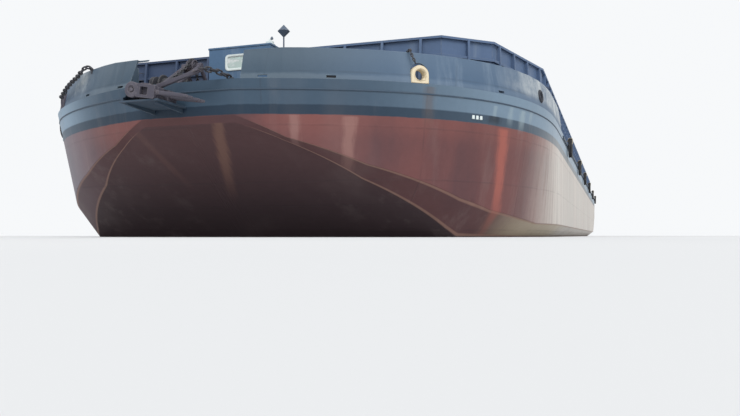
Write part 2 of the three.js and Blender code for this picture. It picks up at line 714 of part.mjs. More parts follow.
function buildDayMark() {
  const low = DEPTH + DAY_MARK.low;
  const high = DEPTH + DAY_MARK.high;
  const middle = (low + high) / 2;
  const profile = [
    new THREE.Vector2(0, low), new THREE.Vector2(DAY_MARK.radius, middle), new THREE.Vector2(0, high),
  ];
  const mark = new THREE.LatheGeometry(profile, DAY_MARK.sides).rotateX(RIGHT_ANGLE);
  const pole = bar(DAY_MARK.pole, vector(0, 0, DEPTH + GAP), vector(0, 0, middle));
  const bracket = block(
    vector(HOUSE.port + GAP - DAY_MARK.half, -DAY_MARK.bracketHalf, DEPTH + DAY_MARK.bracketLow),
    vector(0, DAY_MARK.bracketHalf, DEPTH + DAY_MARK.bracketHigh),
  );
  const geometry = shaped(joined([mark, pole, bracket])).translate(DAY_MARK.half, DAY_MARK.aft, 0);
  add('day_mark', geometry, material(COLOURS.dark));
}

function anchorMatrix(tilt) {
  return new THREE.Matrix4().makeTranslation(ANCHOR.pinHalf, ANCHOR.pinAft, ANCHOR.pinHeight)
    .multiply(new THREE.Matrix4().makeRotationY(-tilt));
}

// Built about the pin, with X towards the tips of the fingers and Y along the pin
function buildAnchor() {
  const reach = ANCHOR.crownLength / 2;
  const slot = ANCHOR.shankSize / 2 + ANCHOR.slotPlay;
  const across = (radius, half, sides) => bar(radius, vector(0, -half, 0), vector(0, half, 0), sides);
  const headOutline = [
    new THREE.Vector2(0, -ANCHOR.crownRadius), new THREE.Vector2(ANCHOR.headLength, -ANCHOR.headEnd),
    new THREE.Vector2(ANCHOR.headLength, ANCHOR.headEnd), new THREE.Vector2(0, ANCHOR.crownRadius),
  ];
  const upwards = new THREE.Matrix4().makeBasis(vector(1, 0, 0), vector(0, 0, 1), vector(0, -1, 0));
  const lobes = new THREE.ExtrudeGeometry(new THREE.Shape(headOutline), {
    depth: 2 * reach, bevelEnabled: false,
  }).applyMatrix4(upwards).translate(0, reach, 0);
  let head = solid(across(ANCHOR.crownRadius, reach, ANCHOR.sides)).add(solid(lobes));
  for (const place of FINGER.places) {
    const outline = [
      new THREE.Vector2(FINGER.from, -FINGER.root / 2), new THREE.Vector2(FINGER.to, -FINGER.tip / 2),
      new THREE.Vector2(FINGER.to, FINGER.tip / 2), new THREE.Vector2(FINGER.from, FINGER.root / 2),
    ];
    const finger = upright(outline, -FINGER.thickness / 2, FINGER.thickness / 2);
    head = head.add(solid(finger.translate(0, place, 0)));
  }
  const gap = block(
    vector(-ANCHOR.slotBack, -slot, -ANCHOR.slotReach), vector(ANCHOR.slotReach, slot, ANCHOR.slotReach),
  );
  const bore = across(ANCHOR.pinRadius + ANCHOR.pinPlay, ANCHOR.slotReach, ANCHOR.pinSides);
  head = head.subtract(solid(gap)).subtract(solid(bore));
  const flukes = shaped(head).applyMatrix4(anchorMatrix(ANCHOR.flukeTilt));
  add('anchor_flukes', flukes, material(COLOURS.gear));

  const half = ANCHOR.shankSize / 2;
  const pieces = [
    across(ANCHOR.slotBack - ANCHOR.slotPlay, half, ANCHOR.sides),
    block(vector(0, -half, -half), vector(ANCHOR.shankLength, half, half)),
    across(ANCHOR.pinRadius, reach, ANCHOR.pinSides),
  ];
  const shank = shaped(joined(pieces)).applyMatrix4(anchorMatrix(ANCHOR.shankTilt));
  add('anchor_shank', shank, material(COLOURS.gear));
}

// Shelf with two knees on the flat of the bow: the lower front edge of the anchor's head lies on it
function buildCradle() {
  const tilt = -ANCHOR.flukeTilt;
  const edge = ANCHOR.headEnd * Math.cos(tilt) + ANCHOR.headLength * Math.sin(tilt);
  const top = ANCHOR.pinHeight - edge - GAP;
  const low = top - CRADLE.thickness;
  const foot = low - CRADLE.kneeDrop;
  const nose = CRADLE.front + CRADLE.kneeInset;
  const stop = vector(CRADLE.stopHalf, CRADLE.stopFront, CRADLE.stopHeight);
  const pieces = [
    block(vector(CRADLE.from, CRADLE.front, low), vector(CRADLE.to, stemAft(top), top)),
    block(
      vector(CRADLE.from, CRADLE.stopFront, low), vector(CRADLE.from + CRADLE.kneeThickness,
        stemAft(CRADLE.stopHeight), CRADLE.stopHeight),
    ),
    bar(CRADLE.stopRadius, stop, stop.clone().setY(stemAft(CRADLE.stopHeight + CRADLE.stopRadius))),
  ];
  const knee = [
    new THREE.Vector2(nose, low + CRADLE.weld), new THREE.Vector2(nose, low - CRADLE.kneeNose),
    new THREE.Vector2(stemAft(foot), foot),
    new THREE.Vector2(stemAft(low + CRADLE.weld), low + CRADLE.weld),
  ];
  const places = [CRADLE.from + CRADLE.kneeInset, CRADLE.to - CRADLE.kneeInset - CRADLE.kneeThickness];
  for (const place of places) {
    pieces.push(crosswise(knee, place, place + CRADLE.kneeThickness));
  }
  add('anchor_cradle', shaped(joined(pieces)), material(COLOURS.gear));
}

// Two raking legs from the bow edge up to a sheave, with stays down to the deck behind
function buildChainFrame() {
  const look = material(COLOURS.gear);
  const head = DEPTH + FRAME.rise;
  const pieces = [];
  for (const side of [-1, 1]) {
    const across = FRAME.half + (side * FRAME.gauge) / 2;
    const top = vector(across, FRAME.head, head);
    for (const foot of [FRAME.frontFoot, FRAME.backFoot]) {
      const low = DEPTH + GAP;
      pieces.push(bar(FRAME.leg, vector(across, foot, low + FRAME.padHeight / 2), top, FRAME.legSides));
      pieces.push(block(
        vector(across - FRAME.pad, foot - FRAME.pad, low),
        vector(across + FRAME.pad, foot + FRAME.pad, low + FRAME.padHeight),
      ));
    }
  }
  const sideways = (aft, height, radius) => {
    const from = vector(FRAME.half - FRAME.gauge / 2, aft, height);
    return bar(radius, from, from.clone().setX(FRAME.half + FRAME.gauge / 2));
  };
  const middle = (FRAME.frontFoot + FRAME.head) / 2;
  pieces.push(sideways(FRAME.head, head, SHEAVE.shaft));
  pieces.push(sideways(middle, DEPTH + FRAME.rise / 2, FRAME.brace));
  const below = block(vector(-HALF_BEAM, 0, 0), vector(HALF_BEAM, BOX_FRONT, DEPTH + GAP));
  add('chain_frame', shaped(joined(pieces).subtract(solid(below))), look);

  const bore = SHEAVE.shaft + SHEAVE.play;
  const edge = SHEAVE.width / 2;
  const profile = [
    [bore, -edge], [SHEAVE.radius, -edge], [SHEAVE.radius, -edge * SHEAVE.lip],
    [SHEAVE.groove, -edge * SHEAVE.floor], [SHEAVE.groove, edge * SHEAVE.floor],
    [SHEAVE.radius, edge * SHEAVE.lip], [SHEAVE.radius, edge], [bore, edge], [bore, -edge],
  ];
  const sheave = wheel(profile, SHEAVE.sides).translate(FRAME.half, FRAME.head, head);
  add('chain_sheave', shaped(solid(sheave)), look);
}

function buildWindlass() {
  const look = material(COLOURS.steel);
  const centre = vector(WINDLASS.half, WINDLASS.aft, DEPTH + WINDLASS.rise);
  const reach = WINDLASS.length / 2;
  const cheekIn = reach + WINDLASS.side;
  const cheekOut = cheekIn + WINDLASS.cheek;
  const shaftEnd = cheekOut + WINDLASS.shaftProud;
  const drum = [
    [0, -shaftEnd], [WINDLASS.shaft, -shaftEnd], [WINDLASS.shaft, -reach],
    [WINDLASS.flangeRadius, -reach], [WINDLASS.flangeRadius, WINDLASS.flangeWidth - reach],
    [WINDLASS.drumRadius, WINDLASS.flangeWidth - reach],
    [WINDLASS.drumRadius, reach - WINDLASS.flangeWidth],
    [WINDLASS.flangeRadius, reach - WINDLASS.flangeWidth], [WINDLASS.flangeRadius, reach],
    [WINDLASS.shaft, reach], [WINDLASS.shaft, shaftEnd], [0, shaftEnd],
  ];
  const drumShape = wheel(drum, WINDLASS.sides).translate(centre.x, centre.y, centre.z);
  add('windlass_drum', shaped(solid(drumShape)), look);

  const low = DEPTH + GAP;
  const top = WINDLASS.rise + WINDLASS.cheekProud;
  const cheek = [
    new THREE.Vector2(-WINDLASS.cheekHalf, 0), new THREE.Vector2(WINDLASS.cheekHalf, 0),
    new THREE.Vector2(WINDLASS.cheekHead, top), new THREE.Vector2(-WINDLASS.cheekHead, top),
  ];
  const foot = WINDLASS.cheekHalf + WINDLASS.baseProud;
  const outer = cheekOut + GEAR_CASE.width;
  const pieces = [
    block(vector(centre.x - outer, centre.y - foot, low),
      vector(centre.x + shaftEnd, centre.y + foot, low + WINDLASS.baseHeight)),
  ];
  for (const from of [-cheekOut, cheekIn]) {
    pieces.push(crosswise(cheek, centre.x + from, centre.x + from + WINDLASS.cheek)
      .translate(0, centre.y, low + WINDLASS.weld));
  }
  const caseEnd = centre.x - cheekOut - GEAR_CASE.gap;
  pieces.push(bar(
    GEAR_CASE.radius, centre.clone().setX(centre.x - outer), centre.clone().setX(caseEnd), GEAR_CASE.sides,
  ));
  pieces.push(block(
    vector(centre.x - outer + GEAR_CASE.plinthInset, centre.y - GEAR_CASE.plinthHalf, low + WINDLASS.weld),
    vector(caseEnd - WINDLASS.weld, centre.y + GEAR_CASE.plinthHalf, centre.z - GEAR_CASE.plinthDrop),
  ));
  const hole = bar(
    WINDLASS.shaft + WINDLASS.play, centre.clone().setX(centre.x - cheekOut - WINDLASS.weld),
    centre.clone().setX(centre.x + outer),
  );
  add('windlass_frame', shaped(joined(pieces).subtract(solid(hole))), look);
}

// One link lying along X: a ring with square section
function chainLink() {
  const ring = (length, width) => {
    const cut = width * LINK.corner;
    const x = length / 2;
    const y = width / 2;
    return [[x, -y + cut], [x, y - cut], [x - cut, y], [cut - x, y], [-x, y - cut], [-x, cut - y],
      [cut - x, -y], [x - cut, -y]].map(([px, py]) => new THREE.Vector2(px, py));
  };
  const shape = new THREE.Shape(ring(LINK.length, LINK.width));
  shape.holes.push(new THREE.Path(ring(LINK.length - 2 * LINK.bar, LINK.width - 2 * LINK.bar)));
  return new THREE.ExtrudeGeometry(shape, { depth: LINK.bar, bevelEnabled: false })
    .translate(0, 0, -LINK.bar / 2);
}

function buildCable() {
  const curve = new THREE.CatmullRomCurve3(
    CABLE.map((point) => vector(point.half, point.aft, DEPTH + GAP + point.above)),
  );
  const count = Math.round(curve.getLength() / LINK.pitch);
  const links = Array.from({ length: count + 1 }, (_, index) => {
    const place = curve.getPointAt(index / count);
    const along = curve.getTangentAt(index / count);
    const lowest = LINK.width / 2 + (Math.abs(along.z) * LINK.length) / 2;
    place.z = Math.max(place.z, DEPTH + GAP + lowest);
    const level = vector(-along.y, along.x, 0).normalize();
    const up = new THREE.Vector3().crossVectors(along, level);
    const axes = index % 2 === 0
      ? new THREE.Matrix4().makeBasis(along, level, up)
      : new THREE.Matrix4().makeBasis(along, up, level.clone().negate());
    return chainLink().applyMatrix4(axes).translate(place.x, place.y, place.z);
  });
  add('anchor_cable', shaped(joined(links)), material(COLOURS.gear));
}

function buildBitts() {
  const profile = [
    [0, 0], [BITTS.radius, 0], [BITTS.radius, BITTS.height - BITTS.capHeight],
    [BITTS.capRadius, BITTS.height - BITTS.capHeight], [BITTS.capRadius, BITTS.height],
    [0, BITTS.height],
  ].map(([radius, height]) => new THREE.Vector2(radius, height));
  for (const { name, half, aft } of BITT_PLACES) {
    const reach = BITTS.spacing / 2;
    const wide = BITTS.baseWidth / 2;
    const pieces = [block(vector(-reach - wide, -wide, 0), vector(reach + wide, wide, BITTS.base))];
    for (const side of [-1, 1]) {
      const post = new THREE.LatheGeometry(profile, BITTS.sides).rotateX(RIGHT_ANGLE);
      pieces.push(post.translate(side * reach, 0, BITTS.base * 0.5));
    }
    const pair = shaped(joined(pieces)).translate(half, aft, DEPTH + GAP);
    add(`${name}_port`, pair, material(COLOURS.steel));
    add(`${name}_starboard`, mirrored(pair), material(COLOURS.steel));
  }
}

function buildHatches() {
  const wide = HATCH.width / 2;
  const inner = wide - HATCH.wall;
  const rim = wide + HATCH.overlap;
  const ring = solid(block(vector(-wide, -wide, 0), vector(wide, wide, HATCH.height)))
    .subtract(solid(block(vector(-inner, -inner, -HATCH.height), vector(inner, inner, 2 * HATCH.height))));
  const coaming = shaped(ring).translate(HATCH.half, HATCH.aft, DEPTH + GAP);
  const low = HATCH.height + GAP;
  const lid = shaped(solid(block(vector(-rim, -rim, low), vector(rim, rim, low + HATCH.lid))))
    .translate(HATCH.half, HATCH.aft, DEPTH + GAP);
  add('hatch_coaming_port', coaming, material(COLOURS.steel));
  add('hatch_coaming_starboard', mirrored(coaming), material(COLOURS.steel));
  add('hatch_lid_port', lid, material(COLOURS.steel));
  add('hatch_lid_starboard', mirrored(lid), material(COLOURS.steel));
}

function tyre() {
  const edge = TYRE.width / 2;
  const bead = edge * TYRE.bead;
  return wheel([
    [TYRE.inner, -bead], [TYRE.shoulder, -edge], [TYRE.outer, -bead], [TYRE.outer, bead],
    [TYRE.shoulder, edge], [TYRE.inner, bead], [TYRE.inner, -bead],
  ], TYRE.sides);
}

function buildFenders() {
  const high = DEPTH - RAIL.below;
  const outer = HALF_BEAM + RAIL.proud;
  const rail = shaped(solid(block(
    vector(HALF_BEAM + GAP, RAIL.from, high - RAIL.height), vector(outer, RAIL.to, high),
  )));
  add('fender_rail_port', rail, material(COLOURS.topside));
  add('fender_rail_starboard', mirrored(rail), material(COLOURS.topside));
  TYRE_PLACES.forEach((aft, index) => {
    const hung = tyre().translate(outer + GAP + TYRE.width / 2, aft, DEPTH - TYRE.below);
    const geometry = shaped(solid(hung));
    add(`fender_tyre_port_${index + 1}`, geometry, material(COLOURS.tyre, 0));
    add(`fender_tyre_starboard_${index + 1}`, mirrored(geometry), material(COLOURS.tyre, 0));
  });
  const away = TYRE.width / 2 + GAP - SHOULDER_TYRE.seat;
  const turned = tyre().rotateZ(RIGHT_ANGLE).translate(0, -away, -SHOULDER_TYRE.below);
  const shoulder = shaped(solid(onShell(turned, SHOULDER_TYRE.half, 0)));
  add('fender_tyre_shoulder', mirrored(shoulder), material(COLOURS.tyre, 0));
}

function buildSkegs() {
  const frontHeight = STERN.slope * (SKEG.front - STERN.rakeStart) - GAP;
  const backHeight = STERN.slope * (SKEG.back - STERN.rakeStart) - GAP;
  const outline = [
    new THREE.Vector2(SKEG.front + SKEG.lead, SKEG.low), new THREE.Vector2(SKEG.back, SKEG.low),
    new THREE.Vector2(SKEG.back, backHeight), new THREE.Vector2(SKEG.front, frontHeight),
  ];
  for (const { side, sign } of SIDES) {
    const middle = sign * SKEG.half;
    const fin = crosswise(outline, middle - SKEG.thickness / 2, middle + SKEG.thickness / 2);
    add(`skeg_${side}`, fin, material(COLOURS.topside));
  }
}

buildHull();
buildAnchor();
buildCradle();
buildChainFrame();
buildWindlass();
buildCable();
buildBitts();
buildHatches();
buildFenders();
buildSkegs();
buildBulwark();
buildChocks();
buildCargoBox();
buildHouse();
buildDayMark();

// The origin lies in the middle of the overall size, on the ground
barge.scale.setScalar(MODEL_MM_PER_METRE);
const overall = new THREE.Box3().setFromObject(barge);
const middle = overall.getCenter(vector(0, 0, 0));
barge.position.set(-middle.x, -middle.y, -overall.min.z);
export default barge;
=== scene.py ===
"""River deck cargo barge without an engine, dressed as a 1:10 scale model.

Sizes are those of the full-size barge in metres: across with port positive, aft from the bow, and
height above the flat bottom. Forms are worked out in those metres and brought into the frame last.
"""
import functools
import logging
import math
from dataclasses import dataclass
from enum import Enum
from typing import Callable, ClassVar, Iterable, Sequence

import bpy
import numpy as np
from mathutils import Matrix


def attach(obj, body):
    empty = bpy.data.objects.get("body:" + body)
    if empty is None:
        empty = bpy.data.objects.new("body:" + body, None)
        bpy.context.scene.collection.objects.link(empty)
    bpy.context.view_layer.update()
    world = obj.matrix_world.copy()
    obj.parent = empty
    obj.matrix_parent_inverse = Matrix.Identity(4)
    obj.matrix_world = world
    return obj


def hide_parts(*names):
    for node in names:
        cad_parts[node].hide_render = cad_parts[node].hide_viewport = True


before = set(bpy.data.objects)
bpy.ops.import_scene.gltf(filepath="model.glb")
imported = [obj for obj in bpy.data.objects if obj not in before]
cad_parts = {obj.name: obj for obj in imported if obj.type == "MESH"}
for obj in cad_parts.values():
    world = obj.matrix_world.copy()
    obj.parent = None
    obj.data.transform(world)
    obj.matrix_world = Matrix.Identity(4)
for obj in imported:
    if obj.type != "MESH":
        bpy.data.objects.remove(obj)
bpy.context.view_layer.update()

LOG = logging.getLogger("barge")

SCALE = 0.1
GAP = 0.003
LENGTH = 91.44
FOREMOST = -1.27
MIDDLE_AFT = (LENGTH + FOREMOST) / 2
HALF_BEAM = 11.93
DEPTH = 5.5
FLOOR = DEPTH + GAP
ACROSS, AFT, UP = (1, 0, 0), (0, 1, 0), (0, 0, 1)
FACING = (ACROSS, UP, (0, -1, 0))

Colour = tuple[float, float, float]
Point = Sequence[float]
Points = Sequence[Point] | np.ndarray
Array = np.ndarray
Socket = bpy.types.NodeSocket
Node = bpy.types.Node


def srgb(*values: int) -> Colour:
    """Linear colour of sRGB values between 0 and 255.

    Args:
        values: Red, green and blue.

    Returns:
        The three linear values between 0 and 1.
    """
    share = np.array(values) / 255
    linear = np.where(share <= 0.04045, share / 12.92, ((share + 0.055) / 1.055) ** 2.4)
    return tuple(linear.tolist())


# Surfaces worked out with numpy


@dataclass
class Form:
    """Closed surface with its points as rows, and its faces as rows of point numbers."""

    points: Array
    quads: Array
    triangles: Array

    def outward(self) -> "Form":
        """Turns the faces outwards, by the sign of the volume summed over a (b x c) from the middle.

        Returns:
            The form itself, or a copy with its faces turned.
        """
        corners = np.concatenate([self.triangles, self.quads[:, :3], self.quads[:, [0, 2, 3]]])
        centred = self.points - self.points.mean(axis=0)
        a, b, c = (centred[corners[:, column]] for column in range(3))
        if np.einsum("ij,ij->", a, np.cross(b, c)) < 0:
            return Form(self.points, self.quads[:, ::-1], self.triangles[:, ::-1])
        return self

    def placed(self, origin: Point, axes: Points | None = None) -> "Form":
        """The form with its local axes laid along the rows of axes, which may mirror it, from an origin.

        Args:
            origin: Place of the local origin.
            axes: Local axes as 3 by 3 rows, or None to keep them straight.

        Returns:
            The placed form, its faces outwards.
        """
        turned = self.points if axes is None else self.points @ np.asarray(axes, float)
        return Form(turned + np.asarray(origin, float), self.quads, self.triangles).outward()

    def mirrored(self) -> "Form":
        """The same form on the other side: the across axis changes sign and the faces turn."""
        return Form(self.points * (-1, 1, 1), self.quads[:, ::-1], self.triangles[:, ::-1])

    def copies(self, origins: Points, axes: Points | None = None) -> "Form":
        """One form made of many copies, each point being origin + local point times the axes.

        Args:
            origins: Place of each copy, one row each.
            axes: Local axes as 3 by 3 rows, for all or for each, or None to keep them straight.

        Returns:
            The joined copies, their faces outwards.
        """
        origins = np.asarray(origins, float).reshape(-1, 3)
        count, size = len(origins), len(self.points)
        local = np.broadcast_to(self.points, (count, size, 3))
        if axes is not None:
            local = np.einsum("npi,nij->npj", local, np.broadcast_to(axes, (count, 3, 3)))
        steps = (np.arange(count) * size)[:, None, None]
        return Form(
            (local + origins[:, None, :]).reshape(-1, 3),
            (self.quads[None] + steps).reshape(-1, 4),
            (self.triangles[None] + steps).reshape(-1, 3),
        ).outward()


class Side(Enum):
    """Sides of the barge, with the sign of the across axis."""

    PORT = 1
    STARBOARD = -1

    @property
    def word(self) -> str:
        """Name of the side as it stands in the node names."""
        return self.name.lower()

    def of(self, form: Form) -> Form:
        """A form made for the port side, on this side."""
        return form if self is Side.PORT else form.mirrored()


def merge(forms: Iterable[Form]) -> Form:
    """Joins forms into one, with their point numbers moved on.

    Args:
        forms: Forms to join.

    Returns:
        One form that holds them all.
    """
    forms = list(forms)
    starts = np.cumsum([0] + [len(form.points) for form in forms[:-1]])
    return Form(
        np.concatenate([form.points for form in forms]),
        np.concatenate([form.quads + start for form, start in zip(forms, starts)]),
        np.concatenate([form.triangles + start for form, start in zip(forms, starts)]),
    )


def both(form: Form) -> Form:
    """A form together with its mirror image on the other side."""
    return merge([form, form.mirrored()])


def columns(*values: float | Array) -> Array:
    """Rows of coordinates, each given for every row or once for all."""
    return np.column_stack(np.broadcast_arrays(*values))


def circle(count: int, radius: float = 1.0) -> tuple[Array, Array]:
    """Coordinates of points once round a circle: radius cos t and radius sin t."""
    angle = np.linspace(0, 2 * np.pi, count, endpoint=False)
    return radius * np.cos(angle), radius * np.sin(angle)


def unit(vectors: Array) -> Array:
    """Vectors divided by their length, along the last axis."""
    return vectors / np.linalg.norm(vectors, axis=-1, keepdims=True)


def travelled(path: Array) -> Array:
    """Distance from the start of a path to each of its points, summed along it."""
    return np.concatenate([[0], np.cumsum(np.linalg.norm(np.diff(path, axis=0), axis=1))])


def lattice(points: Array, ring: bool = False) -> Form:
    """Surface through a grid of points whose columns close on themselves.

    The face at (i, j) joins (i, j), (i + 1, j), (i + 1, j + 1) and (i, j + 1). The ends are closed
    by fans about the mean of the end rows, unless the rows close on themselves as well.

    Args:
        points: Rows by columns by 3.
        ring: True where the last row joins the first, as on a tyre or a link.

    Returns:
        The closed form.
    """
    rows, count = points.shape[:2]
    number = np.arange(rows * count).reshape(rows, count)
    beside = np.roll(number, -1, axis=1)
    here, right = (number, beside) if ring else (number[:-1], beside[:-1])
    below = np.roll(number, -1, axis=0) if ring else number[1:]
    below_right = np.roll(beside, -1, axis=0) if ring else beside[1:]
    quads = np.stack([here, below, below_right, right], axis=-1).reshape(-1, 4)
    flat = points.reshape(-1, 3)
    if ring:
        return Form(flat, quads, np.zeros((0, 3), int)).outward()
    ends = np.concatenate([
        columns(len(flat), number[0], beside[0]), columns(len(flat) + 1, beside[-1], number[-1]),
    ])
    centres = np.stack([points[0].mean(axis=0), points[-1].mean(axis=0)])
    return Form(np.concatenate([flat, centres]), quads, ends).outward()


def path_frames(path: Array, up: Point, closed: bool = False) -> Array:
    """Axes along a path: side = tangent x up, then a third axis square to both.

    Args:
        path: Points of the path, one row each.
        up: Direction that the path never runs along.
        closed: True where the path closes on itself.

    Returns:
        Rows (side, up, tangent) for each point, as n by 3 by 3.
    """
    if closed:
        tangent = unit(np.roll(path, -1, axis=0) - np.roll(path, 1, axis=0))
    else:
        tangent = unit(np.gradient(path, axis=0))
    side = unit(np.cross(tangent, np.broadcast_to(np.asarray(up, float), tangent.shape)))
    return np.stack([side, np.cross(side, tangent), tangent], axis=1)


def pipe(path: Points, radius: float, sides: int = 8, up: Point = UP, closed: bool = False) -> Form:
    """Tube: path point + radius (cos t side + sin t up), with t once round at each point.

    Args:
        path: Points of the centre line.
        radius: Radius of the tube.
        sides: Points round the tube.
        up: Direction that the path never runs along.
        closed: True where the tube closes on itself.

    Returns:
        The closed tube.
    """
    path = np.asarray(path, float)
    frames = path_frames(path, up, closed)
    offsets = np.einsum("sk,nkj->nsj", columns(*circle(sides)), frames[:, :2]) * radius
    return lattice(path[:, None, :] + offsets, ring=closed)


def spin(
    profile: Points, sides: int, origin: Point = (0, 0, 0), axis: Point = UP, ring: bool = False,
) -> Form:
    """Turned form: origin + axis s + radius (cos t, sin t) across it, over a profile (radius, s).

    Args:
        profile: Pairs of radius and distance along the axis.
        sides: Points round the axis.
        origin: Where the distance along the axis is 0.
        axis: Direction of the axis.
        ring: True where the profile closes on itself.

    Returns:
        The closed form, with flat ends where the profile doesn't close.
    """
    profile = np.asarray(profile, float)
    third = unit(np.asarray(axis, float))
    first = unit(np.cross(UP if abs(third[2]) < 0.9 else AFT, third))
    cos, sin = circle(sides)
    round_axis = np.outer(cos, first) + np.outer(sin, np.cross(third, first))
    points = profile[:, 0, None, None] * round_axis + profile[:, 1, None, None] * third
    return lattice(points + np.asarray(origin, float), ring=ring)


def two_way(half: Sequence[Point]) -> list[tuple[float, float]]:
    """Profile of a form with two like ends: pairs, then the same pairs mirrored along the axis."""
    return [*half, *((radius, -place) for radius, place in reversed(half))]


def slab(outline: Points, low: float, high: float, chamfer: float = 0.0) -> Form:
    """Plate over an outline in the local plane, thick along the local third axis.

    Four copies of the outline are stacked. The first and last are drawn towards the middle of the
    outline by the chamfer, which is a share 1 - chamfer / mean radius of each distance.

    Args:
        outline: Points of a star-shaped outline.
        low: Lowest third coordinate.
        high: Highest third coordinate.
        chamfer: Width of the broken edge.

    Returns:
        The closed plate.
    """
    outline = np.asarray(outline, float)
    middle = outline.mean(axis=0)
    reach = np.linalg.norm(outline - middle, axis=1, keepdims=True)
    inner = middle + (outline - middle) * (1 - chamfer / reach)
    levels = [(inner, low), (outline, low + chamfer), (outline, high - chamfer), (inner, high)]
    return lattice(np.stack([columns(*ring.T, level) for ring, level in levels]))


def upright_slab(outline: Points, low: float, high: float) -> Form:
    """Plate over an outline of (aft, height) pairs, thick across the barge."""
    return slab(outline, low, high, 0.008).placed((0, 0, 0), [AFT, UP, ACROSS])


def block(low: Point, high: Point, chamfer: float = 0.01) -> Form:
    """Box between two corners with all its edges broken: a slab over a rectangle with cut corners.

    Args:
        low: Lowest corner.
        high: Highest corner.
        chamfer: Width of the broken edges.

    Returns:
        The closed box.
    """
    (x0, y0, z0), (x1, y1, z1) = low, high
    cut = min(chamfer, (x1 - x0) / 3, (y1 - y0) / 3, (z1 - z0) / 3)
    outline = [
        (x0 + cut, y0), (x1 - cut, y0), (x1, y0 + cut), (x1, y1 - cut),
        (x1 - cut, y1), (x0 + cut, y1), (x0, y1 - cut), (x0, y0 + cut),
    ]
    return slab(outline, z0, z1, cut * 0.7)


def rounded_outline(width: float, height: float, radius: float, steps: int = 5) -> Array:
    """Rectangle about the middle whose corners are quarter circles.

    Args:
        width: Full width.
        height: Full height.
        radius: Radius of the corners.
        steps: Steps in each quarter circle.

    Returns:
        Points of the outline, one row each.
    """
    corners = []
    for turn, (across, along) in enumerate([(1, 1), (-1, 1), (-1, -1), (1, -1)]):
        angle = np.linspace(0, np.pi / 2, steps + 1) + turn * np.pi / 2
        middle = (across * (width / 2 - radius), along * (height / 2 - radius))
        corners.append(middle + radius * columns(np.cos(angle), np.sin(angle)))
    return np.concatenate(corners)


def link(length: float, width: float, bar: float, steps: int = 4, sides: int = 6) -> Form:
    """Chain link along the local first axis: a tube round a straight-sided oval.

    Args:
        length: Length over the bar.
        width: Width over the bar.
        bar: Diameter of the bar.
        steps: Steps in each quarter of a round end.
        sides: Points round the bar.

    Returns:
        The closed link, flat in the local plane.
    """
    oval = rounded_outline(length - bar, width - bar, (width - bar) / 2 * 0.999, steps)
    return pipe(columns(*oval.T, 0), bar / 2, sides, closed=True)


def chain(route: Array, pitch: float, one: Form, lean: float = 0.0) -> Form:
    """Links set along a route, each turned a quarter from the one before.

    Args:
        route: Points of the centre line.
        pitch: Distance from one link to the next.
        one: A link along its first axis.
        lean: Turn of all the links about the route, in radians.

    Returns:
        The joined links.
    """
    distance = travelled(route)
    count = max(2, int(round(distance[-1] / pitch)) + 1)
    places = np.linspace(0, distance[-1], count)
    centres = np.column_stack([np.interp(places, distance, route[:, axis]) for axis in range(3)])
    frames = path_frames(centres, (0.013, 0.02, 1))
    turn = (lean + (np.arange(count) % 2) * np.pi / 2)[:, None]
    side = np.cos(turn) * frames[:, 0] + np.sin(turn) * frames[:, 1]
    return one.copies(centres, np.stack([frames[:, 2], side, np.cross(frames[:, 2], side)], axis=1))


def smooth_route(points: Points, steps: int) -> Array:
    """Catmull-Rom curve through points: each span is the cubic with slopes (next - last) / 2.

    Args:
        points: Points that the curve passes.
        steps: Steps in each span.

    Returns:
        Points of the curve, one row each.
    """
    points = np.asarray(points, float)
    ends = np.concatenate([[2 * points[0] - points[1]], points, [2 * points[-1] - points[-2]]])
    share = np.linspace(0, 1, steps, endpoint=False)[None, :, None]
    before, start, end, after = (ends[k:len(ends) - 3 + k, None, :] for k in range(4))
    curve = 0.5 * (
        2 * start + (end - before) * share + (2 * before - 5 * start + 4 * end - after) * share**2
        + (3 * start - before - 3 * end + after) * share**3
    )
    return np.concatenate([curve.reshape(-1, 3), points[-1:]])


def tapered_bar(rows: Iterable[Point], rounding: float) -> Form:
    """Bar along the local first axis through rounded rectangles that change on the way.

    Args:
        rows: Distance, width along the second axis and height along the third of each section.
        rounding: Corner radius as a share of the smaller side.

    Returns:
        The closed bar.
    """
    return lattice(np.stack([
        columns(distance, *rounded_outline(width, height, rounding * min(width, height), 3).T)
        for distance, width, height in rows
    ]))


def collar(outer: Array, inner: Array, low: float, high: float) -> Form:
    """Flat ring between two outlines with the same number of points, thick along the third axis."""
    corners = [(outer, low), (outer, high), (inner, high), (inner, low)]
    return lattice(np.stack([columns(*line.T, level) for line, level in corners], axis=1), ring=True)


# Outline of the bow: (u / half beam)^p + (1 - aft / length)^q = 1, as in the part's source


